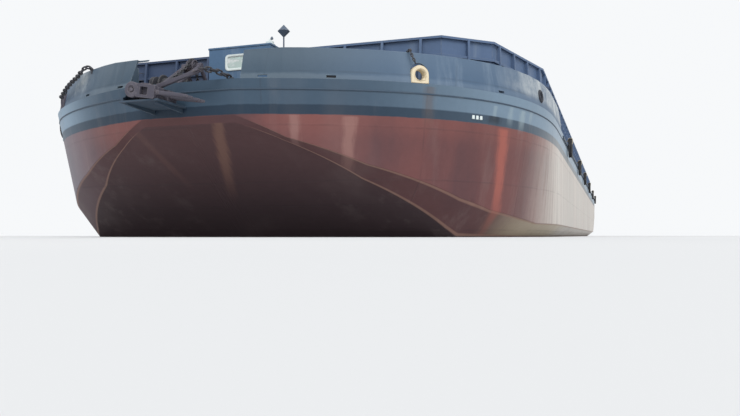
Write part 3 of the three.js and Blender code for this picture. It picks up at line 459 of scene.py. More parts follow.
@dataclass(frozen=True)
class BowPlan:
    """Plan of the shell and what follows it."""

    length: float = 15.54
    across_power: float = 1.437
    along_power: float = 3.481
    flat_half: float = 1.95
    corner_radius: float = 2.2

    def point(self, angle: Array) -> Array:
        """Points of the bow: half sin(t)^(2/p) and length (1 - cos(t)^(2/q)).

        Args:
            angle: Parameter t, from 0 at the stem to a quarter turn at the side.

        Returns:
            Half-breadth and distance aft, one row each.
        """
        forward = np.clip(np.cos(angle), 0, 1) ** (2 / self.along_power)
        return columns(HALF_BEAM * np.sin(angle) ** (2 / self.across_power), self.length * (1 - forward))

    def angle(self, half: float | Array) -> Array:
        """Parameter of a half-breadth."""
        return np.arcsin((np.asarray(half, float) / HALF_BEAM) ** (self.across_power / 2))

    def aft(self, half: float | Array) -> Array:
        """Distance aft of a half-breadth."""
        return self.point(np.atleast_1d(self.angle(half)))[:, 1]

    def inward(self, half: float) -> Array:
        """Unit vector towards the inside of the port shell, square to a short chord of it.

        Args:
            half: Half-breadth of the place.

        Returns:
            The level vector.
        """
        low, high = max(half - 0.01, 0.0), min(half + 0.01, HALF_BEAM)
        rise = float(self.aft(high)[0] - self.aft(low)[0])
        return unit(np.array([-rise, high - low, 0.0]))

    def place(self, half: float, height: float = DEPTH) -> Array:
        """Point on the port side of the outline."""
        return np.array((half, float(self.aft(half)[0]), height))

    def axes(self, half: float) -> Array:
        """Local axes on the port shell: along it, inwards and up."""
        inward = self.inward(half)
        return np.array([(inward[1], -inward[0], 0), inward, UP])

    def seated(self, form: Form, half: float, height: float = DEPTH) -> Form:
        """A form on local axes, set on the port shell."""
        return form.placed(self.place(half, height), self.axes(half))

    def outline(self, steps: int) -> Array:
        """Points of the port shell from the flat of the bow to the straight side."""
        return self.point(np.linspace(float(self.angle(self.flat_half)), np.pi / 2, steps + 1))

    def around(self, half: float) -> float:
        """Distance along the port shell from the middle of the bow to a half-breadth of it."""
        curve = self.point(np.linspace(0, np.pi / 2, 600))
        return float(np.interp(half, curve[:, 0], travelled(curve)))


BOW = BowPlan()


# Objects


def link_mesh(mesh: bpy.types.Mesh, sharp: float) -> bpy.types.Object:
    """Shades a mesh smooth and puts it into the scene, at the origin.

    Args:
        mesh: Mesh with its place in its points.
        sharp: Angle in degrees over which an edge stays sharp.

    Returns:
        The new object.
    """
    mesh.shade_smooth()
    mesh.set_sharp_from_angle(angle=math.radians(sharp))
    piece = bpy.data.objects.new(mesh.name, mesh)
    bpy.context.scene.collection.objects.link(piece)
    return piece


def register(piece: bpy.types.Object, finish: "Finish", body: str, nodes: Sequence[str]) -> None:
    """Gives a piece its finish and says what it rides on and stands for.

    Args:
        piece: The piece.
        finish: Finish of its surface.
        body: Body that it moves with.
        nodes: CAD nodes that it stands for.
    """
    piece.data.materials.append(finish.material())
    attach(piece, body)
    if nodes:
        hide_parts(*nodes)
    LOG.info("%s: %d faces on %s", piece.name, len(piece.data.polygons), body)


def fit_piece(
    name: str, form: Form, finish: "Finish", nodes: Sequence[str] = (),
    body: str = "barge", sharp: float = 32.0,
) -> bpy.types.Mesh:
    """Makes a piece from a form, in the frame's metres.

    Args:
        name: Name of the piece.
        form: Surface in real metres.
        finish: Finish of its surface.
        nodes: CAD nodes that it stands for.
        body: Body that it moves with.
        sharp: Angle in degrees over which an edge stays sharp.

    Returns:
        The mesh of the finished piece.
    """
    mesh = bpy.data.meshes.new(name)
    local = (form.points - (0, MIDDLE_AFT, 0)) * SCALE
    mesh.from_pydata(local.tolist(), [], form.quads.tolist() + form.triangles.tolist())
    register(link_mesh(mesh, sharp), finish, body, nodes)
    return mesh


def values_of(items: object, key: str, kind: type, width: int = 1) -> Array:
    """Reads one property of all the items of a collection.

    Args:
        items: Collection such as a mesh's loops.
        key: Name of the property.
        kind: Number type.
        width: Numbers in each value.

    Returns:
        The values, one row each where the width is over 1.
    """
    values = np.empty(len(items) * width, kind)
    items.foreach_get(key, values)
    return values.reshape(-1, width) if width > 1 else values


def merged_copy(node: str, name: str) -> bpy.types.Mesh:
    """Copy of a CAD node's triangles with its doubled points merged, so that it can be shaded smooth.

    Args:
        node: Name of the CAD node.
        name: Name of the copy.

    Returns:
        The new mesh, without triangles that fell to a line.
    """
    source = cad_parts[node].data
    places = values_of(source.vertices, "co", np.float32, 3)
    unique, number = np.unique(np.round(places, 6), axis=0, return_inverse=True)
    faces = number.reshape(-1)[values_of(source.loops, "vertex_index", int)].reshape(-1, 3)
    keep = (faces != np.roll(faces, -1, axis=1)).all(axis=1)
    mesh = bpy.data.meshes.new(name)
    mesh.from_pydata(unique.tolist(), [], faces[keep].tolist())
    return mesh


def dress_node(node: str, finish: "Finish") -> None:
    """Gives a CAD node its finish.

    Args:
        node: Name of the node.
        finish: Finish of its surface.
    """
    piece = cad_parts[node]
    if piece.material_slots:
        for one in piece.material_slots:
            one.material = finish.material()
    else:
        piece.data.materials.append(finish.material())
    LOG.info("%s: dressed", node)


# Shader graphs


class Wire:
    """Output of a node that can stand in a formula, which adds the Math nodes for it."""

    def __init__(self, graph: "Graph", socket: Socket) -> None:
        """Remembers the socket and its graph."""
        self.graph, self.socket = graph, socket

    def __add__(self, other: "Value") -> "Wire":
        """Sum."""
        return self.graph.math("ADD", self, other)

    def __sub__(self, other: "Value") -> "Wire":
        """Difference."""
        return self.graph.math("SUBTRACT", self, other)

    def __rsub__(self, other: float) -> "Wire":
        """Difference from a number."""
        return self.graph.math("SUBTRACT", other, self)

    def __mul__(self, other: "Value") -> "Wire":
        """Product."""
        return self.graph.math("MULTIPLY", self, other)

    def __truediv__(self, other: "Value") -> "Wire":
        """Quotient."""
        return self.graph.math("DIVIDE", self, other)

    def __abs__(self) -> "Wire":
        """Size without the sign."""
        return self.graph.math("ABSOLUTE", self)

    def most(self, other: "Value") -> "Wire":
        """The larger of the two."""
        return self.graph.math("MAXIMUM", self, other)

    def step(self, low: float, high: float, top: float = 1.0) -> "Wire":
        """Smooth step of this value, from 0 at low to top at high."""
        ends = {"Value": self, "From_Min": low, "From_Max": high, "To_Max": top}
        return self.graph.out("ShaderNodeMapRange", {"interpolation_type": "SMOOTHSTEP"}, **ends)

    def over(self, first: object, second: object) -> "Wire":
        """Colour that goes from the first to the second as this value goes from 0 to 1."""
        return self.graph.mix(self, first, second)

    def stretched(self, scale: Point, shift: float = 0.0) -> "Wire":
        """This vector scaled along each axis and moved."""
        place = {"Scale": tuple(scale), "Location": (shift, shift * 1.7, shift * 0.6)}
        return self.graph.out("ShaderNodeMapping", {"vector_type": "POINT"}, Vector=self, **place)

    def noise(self, scale: "Value", detail: float = 4.0, roughness: float = 0.55) -> "Wire":
        """Noise between 0 and 1 over this vector."""
        shape = {"Scale": scale, "Detail": detail, "Roughness": roughness}
        return self.graph.out("ShaderNodeTexNoise", Vector=self, **shape)


Value = float | Wire


class Graph:
    """Adds nodes to a tree and links them, from left to right."""

    def __init__(self, tree: bpy.types.NodeTree) -> None:
        """Starts with an empty tree."""
        self.tree = tree
        tree.nodes.clear()

    def add(self, kind: str, settings: dict | None = None, **inputs: object) -> Node:
        """Adds a node.

        Args:
            kind: Blender's name of the node type.
            settings: Properties of the node.
            inputs: Values or wires by input name, with _ for a space.

        Returns:
            The new node.
        """
        node = self.tree.nodes.new(kind)
        node.location = (170 * (len(self.tree.nodes) % 12), -220 * (len(self.tree.nodes) // 12))
        for key, value in (settings or {}).items():
            setattr(node, key, value)
        for key, value in inputs.items():
            self.put(node.inputs[key.replace("_", " ")], value)
        return node

    def out(self, kind: str, settings: dict | None = None, output: str | int = 0, **inputs: object) -> Wire:
        """Adds a node and gives the wire of one output."""
        return Wire(self, self.add(kind, settings, **inputs).outputs[output])

    def put(self, socket: Socket, value: object) -> None:
        """Links a wire to an input, or sets the input's own value.

        Args:
            socket: The input.
            value: A wire, number, vector or colour.
        """
        if isinstance(value, Wire):
            self.tree.links.new(value.socket, socket)
        elif socket.type == "RGBA":
            socket.default_value = (*value, 1)
        else:
            socket.default_value = value

    def math(self, operation: str, *values: Value, clamp: bool = False) -> Wire:
        """Arithmetic on numbers.

        Args:
            operation: Blender's name of it.
            values: Numbers or wires.
            clamp: True to keep the result between 0 and 1.

        Returns:
            The result.
        """
        node = self.add("ShaderNodeMath", {"operation": operation, "use_clamp": clamp})
        for socket, value in zip(node.inputs, values):
            self.put(socket, value)
        return Wire(self, node.outputs[0])

    def mix(self, share: Value, first: object, second: object, blend: str = "MIX") -> Wire:
        """Mixes two colours.

        Args:
            share: 0 for the first, 1 for the second.
            first: Colour at 0.
            second: Colour at 1.
            blend: Blender's name of the way to mix.

        Returns:
            The mixed colour.
        """
        node = self.add("ShaderNodeMix", {"data_type": "RGBA", "blend_type": blend})
        for socket, value in zip((node.inputs[0], *node.inputs[6:8]), (share, first, second)):
            self.put(socket, value)
        return Wire(self, node.outputs[2])

    def group(self, shared: Callable, **inputs: object) -> dict[str, Wire]:
        """Places a shared effect and gives its outputs by name."""
        node = self.add("ShaderNodeGroup", {"node_tree": shared()}, **inputs)
        return {socket.name: Wire(self, socket) for socket in node.outputs}

    def place(self) -> Wire:
        """Object coordinates."""
        return self.out("ShaderNodeTexCoord", output="Object")

    def real(self, axis: str) -> Wire:
        """Object coordinate in real metres: X across, Y aft of the bow, Z above the bottom."""
        value = self.out("ShaderNodeSeparateXYZ", output=axis, Vector=self.place()) * (1 / SCALE)
        return value + MIDDLE_AFT if axis == "Y" else value


SOCKETS = {"Vector": "NodeSocketVector"} | dict.fromkeys(
    ("Base", "Streak", "Worn", "Colour"), "NodeSocketColor",
)


def effect(title: str, inputs: str, outputs: str) -> Callable:
    """Makes a shared node group of a function that gets a graph and the inputs, in order.

    Args:
        title: Name of the group.
        inputs: Names of its inputs, whose kinds stand in SOCKETS or are numbers.
        outputs: Names of its outputs, in the order in which the function returns them.

    Returns:
        Decorator, which leaves a function that returns the group and builds it once.
    """
    def shared(build: Callable) -> Callable:
        """Wraps the function.

        Args:
            build: Function that builds the nodes.

        Returns:
            Function that gives the group.
        """
        @functools.cache
        def tree() -> bpy.types.NodeTree:
            """Makes the group when it is first asked for.

            Returns:
                The group.
            """
            made = bpy.data.node_groups.new(title, "ShaderNodeTree")
            for names, way in ((inputs, "INPUT"), (outputs, "OUTPUT")):
                for name in names.split():
                    kind = SOCKETS.get(name, "NodeSocketFloat")
                    made.interface.new_socket(name=name, in_out=way, socket_type=kind)
            graph = Graph(made)
            entry = graph.add("NodeGroupInput")
            results = build(graph, *(Wire(graph, entry.outputs[name]) for name in inputs.split()))
            leave = graph.add("NodeGroupOutput")
            for name, wire in zip(outputs.split(), results):
                graph.put(leave.inputs[name], wire)
            return made
        return tree
    return shared


@effect("Rain Streaks", "Vector Base Streak Amount Size", "Colour Mask Height")
def streaking(graph: Graph, vector: Wire, base: Wire, streak: Wire, amount: Wire, size: Wire) -> tuple:
    """Rain streaks, blotches and grain: noise drawn out downwards, laid over broad and fine noise.

    Args:
        graph: Graph of the group.
        vector: Place on the surface.
        base: Colour of the paint.
        streak: Colour of the streaks.
        amount: Strength of the streaks.
        size: Scale of the noise.

    Returns:
        Colour, mask and height.
    """
    fine = vector.stretched((1, 1, 0.05)).noise(size * 9.0, 6.0, 0.65)
    wide = vector.stretched((1, 1, 0.12), 3.0).noise(size * 2.2)
    broken = vector.stretched((1, 1, 0.5), 7.0).noise(size, 3.0)
    run = (fine.step(0.5, 0.72) * broken.step(0.35, 0.62)).most(wide.step(0.56, 0.78, 0.7))
    mask = graph.math("MULTIPLY", run, amount, clamp=True)
    blotch, grain = vector.noise(size * 0.8, 5.0, 0.6), vector.noise(size * 40.0, 3.0, 0.6)
    shade = blotch * 0.34 + grain * 0.16 + 0.76
    grey = graph.out("ShaderNodeCombineColor", Red=shade, Green=shade, Blue=shade)
    tinted = graph.mix(1.0, base, grey, "MULTIPLY")
    return mask.over(tinted, streak), mask, (grain + blotch) * 0.5


@effect("Rust", "Vector Base Amount Size", "Colour Mask Height")
def rusting(graph: Graph, vector: Wire, base: Wire, amount: Wire, size: Wire) -> tuple:
    """Rust: spots where noise passes a limit, with runs below them and two shades inside.

    Args:
        graph: Graph of the group.
        vector: Place on the surface.
        base: Colour of the paint.
        amount: How much rust.
        size: Scale of the noise.

    Returns:
        Colour, mask and height.
    """
    spot = vector.stretched((1, 1, 1), 11.0).noise(size, 7.0, 0.72)
    run = vector.stretched((1, 1, 0.14), 5.0).noise(size, 5.0, 0.6)
    limit = 0.74 - amount * 0.4
    mask = graph.math("MULTIPLY", spot * 0.62 + run * 0.38 - limit, 14.0, clamp=True)
    shade = vector.noise(size * 3.1, 5.0, 0.7)
    rust = shade.step(0.36, 0.66).over(srgb(66, 46, 42), srgb(118, 80, 62))
    return mask.over(base, rust), mask, mask * shade


@effect("Worn Edges", "Vector Base Worn Amount", "Colour Mask")
def wearing(graph: Graph, vector: Wire, base: Wire, worn: Wire, amount: Wire) -> tuple:
    """Worn edges: one minus the product of the normal and the normal rounded over a radius.

    Args:
        graph: Graph of the group.
        vector: Place on the surface.
        base: Colour of the paint.
        worn: Colour of the bare edge.
        amount: Strength of the wear.

    Returns:
        Colour and mask.
    """
    soft = graph.out("ShaderNodeBevel", {"samples": 4}, Radius=0.0035)
    product = graph.add("ShaderNodeVectorMath", {"operation": "DOT_PRODUCT"})
    graph.put(product.inputs[0], soft)
    graph.put(product.inputs[1], graph.out("ShaderNodeNewGeometry", output="Normal"))
    bend = 1.0 - Wire(graph, product.outputs["Value"])
    chips = vector.noise(60.0, 5.0, 0.7)
    bare = bend.step(0.01, 0.12) * chips.step(0.36, 0.6)
    mask = graph.math("MULTIPLY", bare, amount, clamp=True)
    return mask.over(base, worn), mask


@effect("Run Mark", "Along Height Centre Width Top Length Lean", "Mask")
def running(
    graph: Graph, along: Wire, height: Wire, centre: Wire, width: Wire, top: Wire, length: Wire, lean: Wire,
) -> tuple:
    """One run down the shell: a wandering band about a centre that fades from its top to its foot.

    Args:
        graph: Graph of the group.
        along: Distance along the shell.
        height: Height above the bottom.
        centre: Distance along at the top of the run.
        width: Half the width of the run.
        top: Height of its top.
        length: Length of the run.
        lean: Metres along for each metre down.

    Returns:
        Mask.
    """
    place = graph.out("ShaderNodeCombineXYZ", X=along, Y=height * 0.6)
    wander = place.noise(1.3, 3.0) - 0.5
    away = abs(along - (centre + (top - height) * lean + wander * 0.35)) / width
    ragged = place.stretched((1, 0.25, 1)).noise(7.0, 5.0, 0.7)
    across = (away + ragged * 0.9).step(1.3, 0.6)
    down = (top - height) / length
    return (graph.math("MULTIPLY", across * down.step(0.0, 0.03), down.step(1.0, 0.35), clamp=True),)


@effect("Plate Seams", "Along Height", "Mask Lines Dents")
def plating(graph: Graph, along: Wire, height: Wire) -> tuple:
    """Plate seams: thin lines where along / length and height / strake pass whole numbers.

    Args:
        graph: Graph of the group.
        along: First distance.
        height: Distance square to it.

    Returns:
        Broken lines, whole lines and shallow dents.
    """
    lines = []
    for value, span in ((along, 6.0), (height + 0.62, 1.83)):
        away = abs(graph.math("FRACT", value / span) - 0.5) * span
        lines.append(away.step(0.05, 0.015))
    either = lines[0].most(lines[1])
    place = graph.out("ShaderNodeCombineXYZ", X=along, Y=height)
    broken = place.noise(0.9, 3.0).step(0.35, 0.6)
    return either * broken, either, place.stretched((1, 1.3, 1)).noise(0.75, 2.0, 0.4)


# Finishes


class Finish:
    """A surface finish that makes its material once."""

    name: str

    @functools.cache
    def material(self) -> bpy.types.Material:
        """The material of this finish, made when it is first asked for.

        Returns:
            The material, the same one each time.
        """
        made = bpy.data.materials.new(self.name)
        made.use_nodes = True
        graph = Graph(made.node_tree)
        shader = graph.add("ShaderNodeBsdfPrincipled")
        graph.add("ShaderNodeOutputMaterial", Surface=Wire(graph, shader.outputs[0]))
        self.paint(graph, shader)
        return made

    def paint(self, graph: Graph, shader: Node) -> None:
        """Builds the nodes that feed the shader.

        Args:
            graph: Graph of the material.
            shader: Its Principled BSDF.
        """
        raise NotImplementedError

    @staticmethod
    def coat(graph: Graph, shader: Node, colour: Wire, rough: Value, gloss: float = 0.5) -> None:
        """Feeds colour and roughness into the shader, and sets its gloss.

        Args:
            graph: Graph of the material.
            shader: Its Principled BSDF.
            colour: Base colour.
            rough: Roughness.
            gloss: Specular level.
        """
        graph.put(shader.inputs["Base Color"], colour)
        graph.put(shader.inputs["Roughness"], rough)
        shader.inputs["Specular IOR Level"].default_value = gloss

    @staticmethod
    def bump(graph: Graph, shader: Node, height: Wire, strength: float, distance: float = 0.002) -> None:
        """Feeds a height through a Bump node into the shader's normal.

        Args:
            graph: Graph of the material.
            shader: Its Principled BSDF.
            height: The height.
            strength: Strength of the bump.
            distance: Depth in metres of the frame.
        """
        shape = {"Height": height, "Strength": strength, "Distance": distance}
        graph.put(shader.inputs["Normal"], graph.out("ShaderNodeBump", **shape))


@dataclass(frozen=True)
class WeatheredPaint(Finish):
    """Old paint on steel: streaks, rust spots and edges worn to bare metal."""

    name: str
    base: Colour
    streak: Colour
    worn: Colour = srgb(120, 92, 72)
    streaks: float = 0.5
    rust: float = 0.2
    wear: float = 0.5
    size: float = 3.0
    roughness: float = 0.62
    metallic: float = 0.0
    relief: float = 0.25
    gloss: float = 0.25

    def paint(self, graph: Graph, shader: Node) -> None:
        """Streaked base, then worn edges, then rust on top; rust is rougher than paint."""
        place = graph.place()
        rain = graph.group(
            streaking, Vector=place, Base=self.base, Streak=self.streak, Amount=self.streaks, Size=self.size,
        )
        worn = graph.group(wearing, Vector=place, Base=rain["Colour"], Worn=self.worn, Amount=self.wear)
        rust = graph.group(
            rusting, Vector=place, Base=worn["Colour"], Amount=self.rust, Size=self.size * 5,
        )
        rough = rust["Mask"] * 0.25 + rain["Mask"] * 0.1 + self.roughness
        self.coat(graph, shader, self.soiled(graph, rust["Colour"], rain["Height"]), rough, self.gloss)
        shader.inputs["Metallic"].default_value = self.metallic
        self.bump(graph, shader, rust["Height"] * 0.8 + rain["Height"], self.relief)

    def soiled(self, graph: Graph, colour: Wire, ragged: Wire) -> Wire:
        """Colour with anything laid over the paint; plain paint has nothing.

        Args:
            graph: Graph of the material.
            colour: Colour of the paint.
            ragged: Broad noise.

        Returns:
            The colour with what is laid over it.
        """
        return colour


@dataclass(frozen=True)
class WallPaint(WeatheredPaint):
    """Wall paint, darker near the deck and on the starboard part of the front wall."""

    soil: Colour = srgb(40, 48, 72)
    share: float = 0.6
    span: tuple[float, float] = (DEPTH + 1.9, DEPTH + 0.6)
    across: tuple[float, float] = (0.6, -1.6)
    front: tuple[float, float] = (8.2, 7.4)

    def soiled(self, graph: Graph, colour: Wire, ragged: Wire) -> Wire:
        """Darker by height, and by distance to starboard on what lies forward.

        Args:
            graph: Graph of the material.
            colour: Colour of the paint.
            ragged: Broad noise.

        Returns:
            The darkened colour.
        """
        # Darker tone low on the walls and on the starboard part of the front wall.
        low = (ragged * 0.8 + graph.real("Z")).step(*self.span, self.share)
        side = (ragged * 0.8 + graph.real("X")).step(*self.across, self.share)
        return low.most(side * graph.real("Y").step(*self.front)).over(colour, self.soil)


@dataclass(frozen=True)
class DeckPaint(WeatheredPaint):
    """Deck paint with the weld lines of its plates."""

    weld: Colour = srgb(54, 46, 42)

    def soiled(self, graph: Graph, colour: Wire, ragged: Wire) -> Wire:
        """Dark lines between the plates, along and across the deck."""
        seams = graph.group(plating, Along=graph.real("Y"), Height=graph.real("X"))
        return (seams["Lines"] * 0.45).over(colour, self.weld)


@dataclass(frozen=True)
class Rubber(Finish):
    """Old tyre rubber, greyed and dusty."""

    name: str = "old_rubber"
    base: Colour = srgb(34, 35, 38)
    dust: Colour = srgb(96, 94, 92)

    def paint(self, graph: Graph, shader: Node) -> None:
        """Dark base with dust where broad noise is high, and fine cracks as bump."""
        place = graph.place()
        cracks = place.stretched((1, 1, 1), 4.0).noise(120.0, 4.0, 0.7)
        colour = place.noise(14.0, 6.0, 0.65).step(0.42, 0.75, 0.6).over(self.base, self.dust)
        self.coat(graph, shader, colour, cracks * 0.2 + 0.7)
        self.bump(graph, shader, cracks, 0.4)


@dataclass(frozen=True)
class ClearGlass(Finish):
    """Window glass, slightly green and pale, with near-white patches that are partly dust and partly painted
    reflection.
    """

    name: str = "window_glass"
    tint: Colour = srgb(206, 224, 220)
    dust: Colour = srgb(244, 248, 248)

    def paint(self, graph: Graph, shader: Node) -> None:
        """Pale green tint with near-white patches of dust and painted reflection, which also roughen the
        glass.
        """
        dust = graph.place().stretched((1, 1, 1.8), 3.0).noise(18.0, 3.0, 0.5)
        # Painted reflection: the pale tint and the near-white patches make the glass read bright, partly as
        # dust.
        colour = dust.step(0.46, 0.56).over(self.tint, self.dust)
        self.coat(graph, shader, colour, dust.step(0.35, 0.85, 0.3))
        shader.inputs["Transmission Weight"].default_value = 0.3
        shader.inputs["IOR"].default_value = 1.46


@dataclass(frozen=True)
class FloorFinish(Finish):
    """Plain pale floor with faint broad shading."""

    name: str = "pale_floor"

    def paint(self, graph: Graph, shader: Node) -> None:
        """Pale grey, mixed by noise."""
        cloud = graph.place().noise(0.6, 3.0)
        self.coat(graph, shader, cloud.over((0.62, 0.63, 0.64), (0.7, 0.7, 0.7)), 0.9)


@dataclass(frozen=True)
class RunMark:
    """A run of rust or a pale scrape down the shell, or down the rake if it is under."""

    centre: float
    top: float
    length: float
    width: float
    colour: Colour
    strength: float = 0.5
    lean: float = 0.0
    under: bool = False


@dataclass(frozen=True)
class HullPaint(Finish):
    """Shell paint: slate topside, dark band, red bottom paint, with marks placed along the shell.

    The mesh carries the map Shell (metres along the shell, height) and the attribute Zone, which is
    0 on the flat of the bottom and the rake, rises to 1 across the chine's chamfer and stays there.
    """

    name: str = "hull_paint"
    topside: Colour = srgb(62, 80, 97)
    band: Colour = srgb(38, 54, 70)
    red: Colour = srgb(108, 69, 68)
    red_dull: Colour = srgb(86, 61, 64)
    red_bright: Colour = srgb(130, 80, 75)
    # Rake and bottom: the side's red painted darker as painted shade, darker still low down
    bottom: Colour = srgb(82, 58, 60)
    bottom_low: Colour = srgb(60, 46, 50)
    chalk: Colour = srgb(176, 166, 160)
    # pale, mauve and bloom are partly weathered paint and partly painted sheen
    pale: Colour = srgb(208, 204, 196)
    khaki: Colour = srgb(172, 160, 138)
    mauve: Colour = srgb(124, 122, 132)
    bloom: Colour = srgb(150, 174, 194)
    line: Colour = srgb(150, 118, 104)
    dark_line: Colour = srgb(34, 42, 52)
    seam: Colour = srgb(50, 48, 52)
    red_top: float = 4.3
    band_top: float = 4.635
    knuckle: float = 5.15
    marks: tuple[RunMark, ...] = (
        RunMark(12.98, 4.3, 5.2, 0.6, srgb(176, 98, 84), 0.6, 0.113),
        RunMark(4.18, 4.3, 1.5, 0.34, srgb(160, 126, 120), 0.4),
        RunMark(6.14, 4.3, 2.6, 0.38, srgb(162, 124, 116), 0.45),
        RunMark(12.24, 5.04, 0.75, 0.26, srgb(146, 162, 170)),
        RunMark(13.32, 5.12, 0.9, 0.3, srgb(146, 162, 170)),
        RunMark(14.2, 5.08, 1.0, 0.4, srgb(150, 166, 172), 0.55),
        RunMark(14.93, 5.12, 0.6, 0.28, srgb(146, 162, 170)),
        RunMark(12.27, 4.64, 0.4, 0.7, srgb(36, 44, 54), 0.8),
        RunMark(9.07, 5.44, 1.7, 0.4, srgb(100, 88, 82), 0.45),
        RunMark(1.19, 4.1, 2.8, 0.4, srgb(136, 102, 88), 0.5, -0.54, True),
        RunMark(-2.4, 4.0, 2.4, 0.3, srgb(104, 76, 72), 0.4, 0.3, True),
    )

    def bands(self, height: Wire, place: Wire) -> Wire:
        """Colour of the shell by height: red, dark band, topside and a painted shadow line just below the
        knuckle bar.

        Args:
            height: Height above the bottom.
            place: Object coordinates.

        Returns:
            The colour.
        """
        level = (place.noise(26.0) - 0.5) * 0.04 + height
        cloud = place.stretched((1, 1, 0.25), 2.0).noise(3.0)
        red = cloud.step(0.36, 0.66).over(self.red, self.red_dull)
        red = (level.step(3.3, 4.2, 0.5) * cloud.step(0.75, 0.45)).over(red, self.red_bright)
        upper = level.step(self.band_top - 0.03, self.band_top + 0.03).over(self.band, self.topside)
        colour = level.step(self.red_top - 0.02, self.red_top + 0.02).over(red, upper)
        # Painted shadow: a thin dark line just below the sheer bar, where the bar casts its shade.
        low, high = self.knuckle - 0.07, self.knuckle - 0.01
        shadow = level.step(low, low + 0.02) * level.step(high, high - 0.02) * 0.3
        return shadow.over(colour, self.dark_line)

    def ageing(self, colour: Wire, along: Wire, height: Wire, place: Wire) -> Wire:
        """Pale side aft of the bow's round and mauve bloom on the starboard bow, in fine streaks: partly
        weathered paint, partly painted sheen.

        Args:
            colour: Colour of the bands.
            along: Distance along the shell, less than 0 on the starboard side.
            height: Height above the bottom.
            place: Object coordinates.

        Returns:
            The aged colour.
        """
        fine = place.stretched((1, 1, 0.03), 9.0).noise(34.0, 5.0, 0.65)
        reach = abs(along)
        lower = height.step(self.red_top + 0.02, self.red_top - 0.03)
        # Pale sides aft of the round: partly weathered paint, partly painted sheen where the side is seen at
        # a grazing angle.
        side = reach.step(14.2, 21.5) * (fine.step(0.3, 0.55) * 0.35 + 0.65)
        colour = (side * (lower * 0.45 + 0.35)).over(colour, self.pale)
        # Bloom above the band and the lighter starboard bow: partly weathered paint, partly painted sheen
        # that lightens the starboard bow against its shade.
        clear = height.step(self.band_top - 0.03, self.band_top + 0.03) * 0.75 + 0.25
        clear = clear * (1.0 - lower)
        colour = (reach.step(5.5, 14.0, 0.5) * clear).over(colour, self.bloom)
        starboard = (along * -1.0).step(3.5, 9.0, 0.7) * lower.most(clear)
        return starboard.over(colour, lower.over(self.bloom, self.mauve))

    def under_paint(self, colour: Wire, along: Wire, height: Wire, zone: Wire) -> Wire:
        """Rake and bottom painted darker as painted shade, a chamfer that pales aft, and a light line on
        both its edges.

        Args:
            colour: Colour of the side.
            along: Distance along the shell.
            height: Height above the bottom.
            zone: The attribute Zone.

        Returns:
            The colour of the whole shell.
        """
        reach = abs(along)
        # Painted shade: the rake and bottom darker than the side's red, and darker still lower down.
        flat = height.step(4.0, 0.8).over(self.bottom, self.bottom_low)
        chamfer = zone.step(0.02, 0.12) * zone.step(0.98, 0.9) * reach.step(30.0, 20.0, 0.75)
        colour = chamfer.over(colour, reach.step(12.5, 16.5).over(self.bottom, self.khaki))
        colour = (zone.step(0.12, 0.02) * height.step(5.3, 5.0)).over(colour, flat)
        upper = zone.step(0.88, 0.93) * zone.step(1.0, 0.96)
        lower = zone.step(0.01, 0.05) * zone.step(0.14, 0.09)
        return (upper.most(lower) * reach.step(2.2, 3.4, 0.6)).over(colour, self.line)

    def paint(self, graph: Graph, shader: Node) -> None:
        """Bands, weathering with painted sheen and under paint with painted shade, then streaks, seams, runs
        and rust.
        """
        shell = graph.add("ShaderNodeSeparateXYZ", Vector=graph.out("ShaderNodeUVMap", {"uv_map": "Shell"}))
        along, height = (Wire(graph, shell.outputs[axis]) for axis in "XY")
        zone = graph.out("ShaderNodeAttribute", {"attribute_name": "Zone"}, "Fac")
        place, across = graph.place(), graph.real("X")
        colour = self.ageing(self.bands(height, place), along, height, place)
        colour = self.under_paint(colour, along, height, zone)
        rain = graph.group(streaking, Vector=place, Base=colour, Streak=self.chalk, Amount=0.1, Size=1.1)
        seams = graph.group(plating, Along=along, Height=height)
        colour = (seams["Mask"] * 0.16).over(rain["Colour"], self.seam)
        under = zone.step(0.12, 0.02)
        upright = 1.0 - under
        for mark in self.marks:
            run = graph.group(
                running, Along=across if mark.under else along, Height=height,
                Centre=mark.centre, Width=mark.width, Top=mark.top, Length=mark.length, Lean=mark.lean,
            )
            share = run["Mask"] * (under if mark.under else upright) * mark.strength
            colour = share.over(colour, mark.colour)
        rust = graph.group(rusting, Vector=place, Base=colour, Amount=0.08, Size=8.0)
        self.coat(graph, shader, rust["Colour"], rust["Mask"] * 0.3 + rain["Mask"] * 0.15 + 0.52, 0.25)
        relief = seams["Lines"] * 0.12 + seams["Dents"] + rain["Height"] * 0.08
        self.bump(graph, shader, relief, 0.35, 0.006)


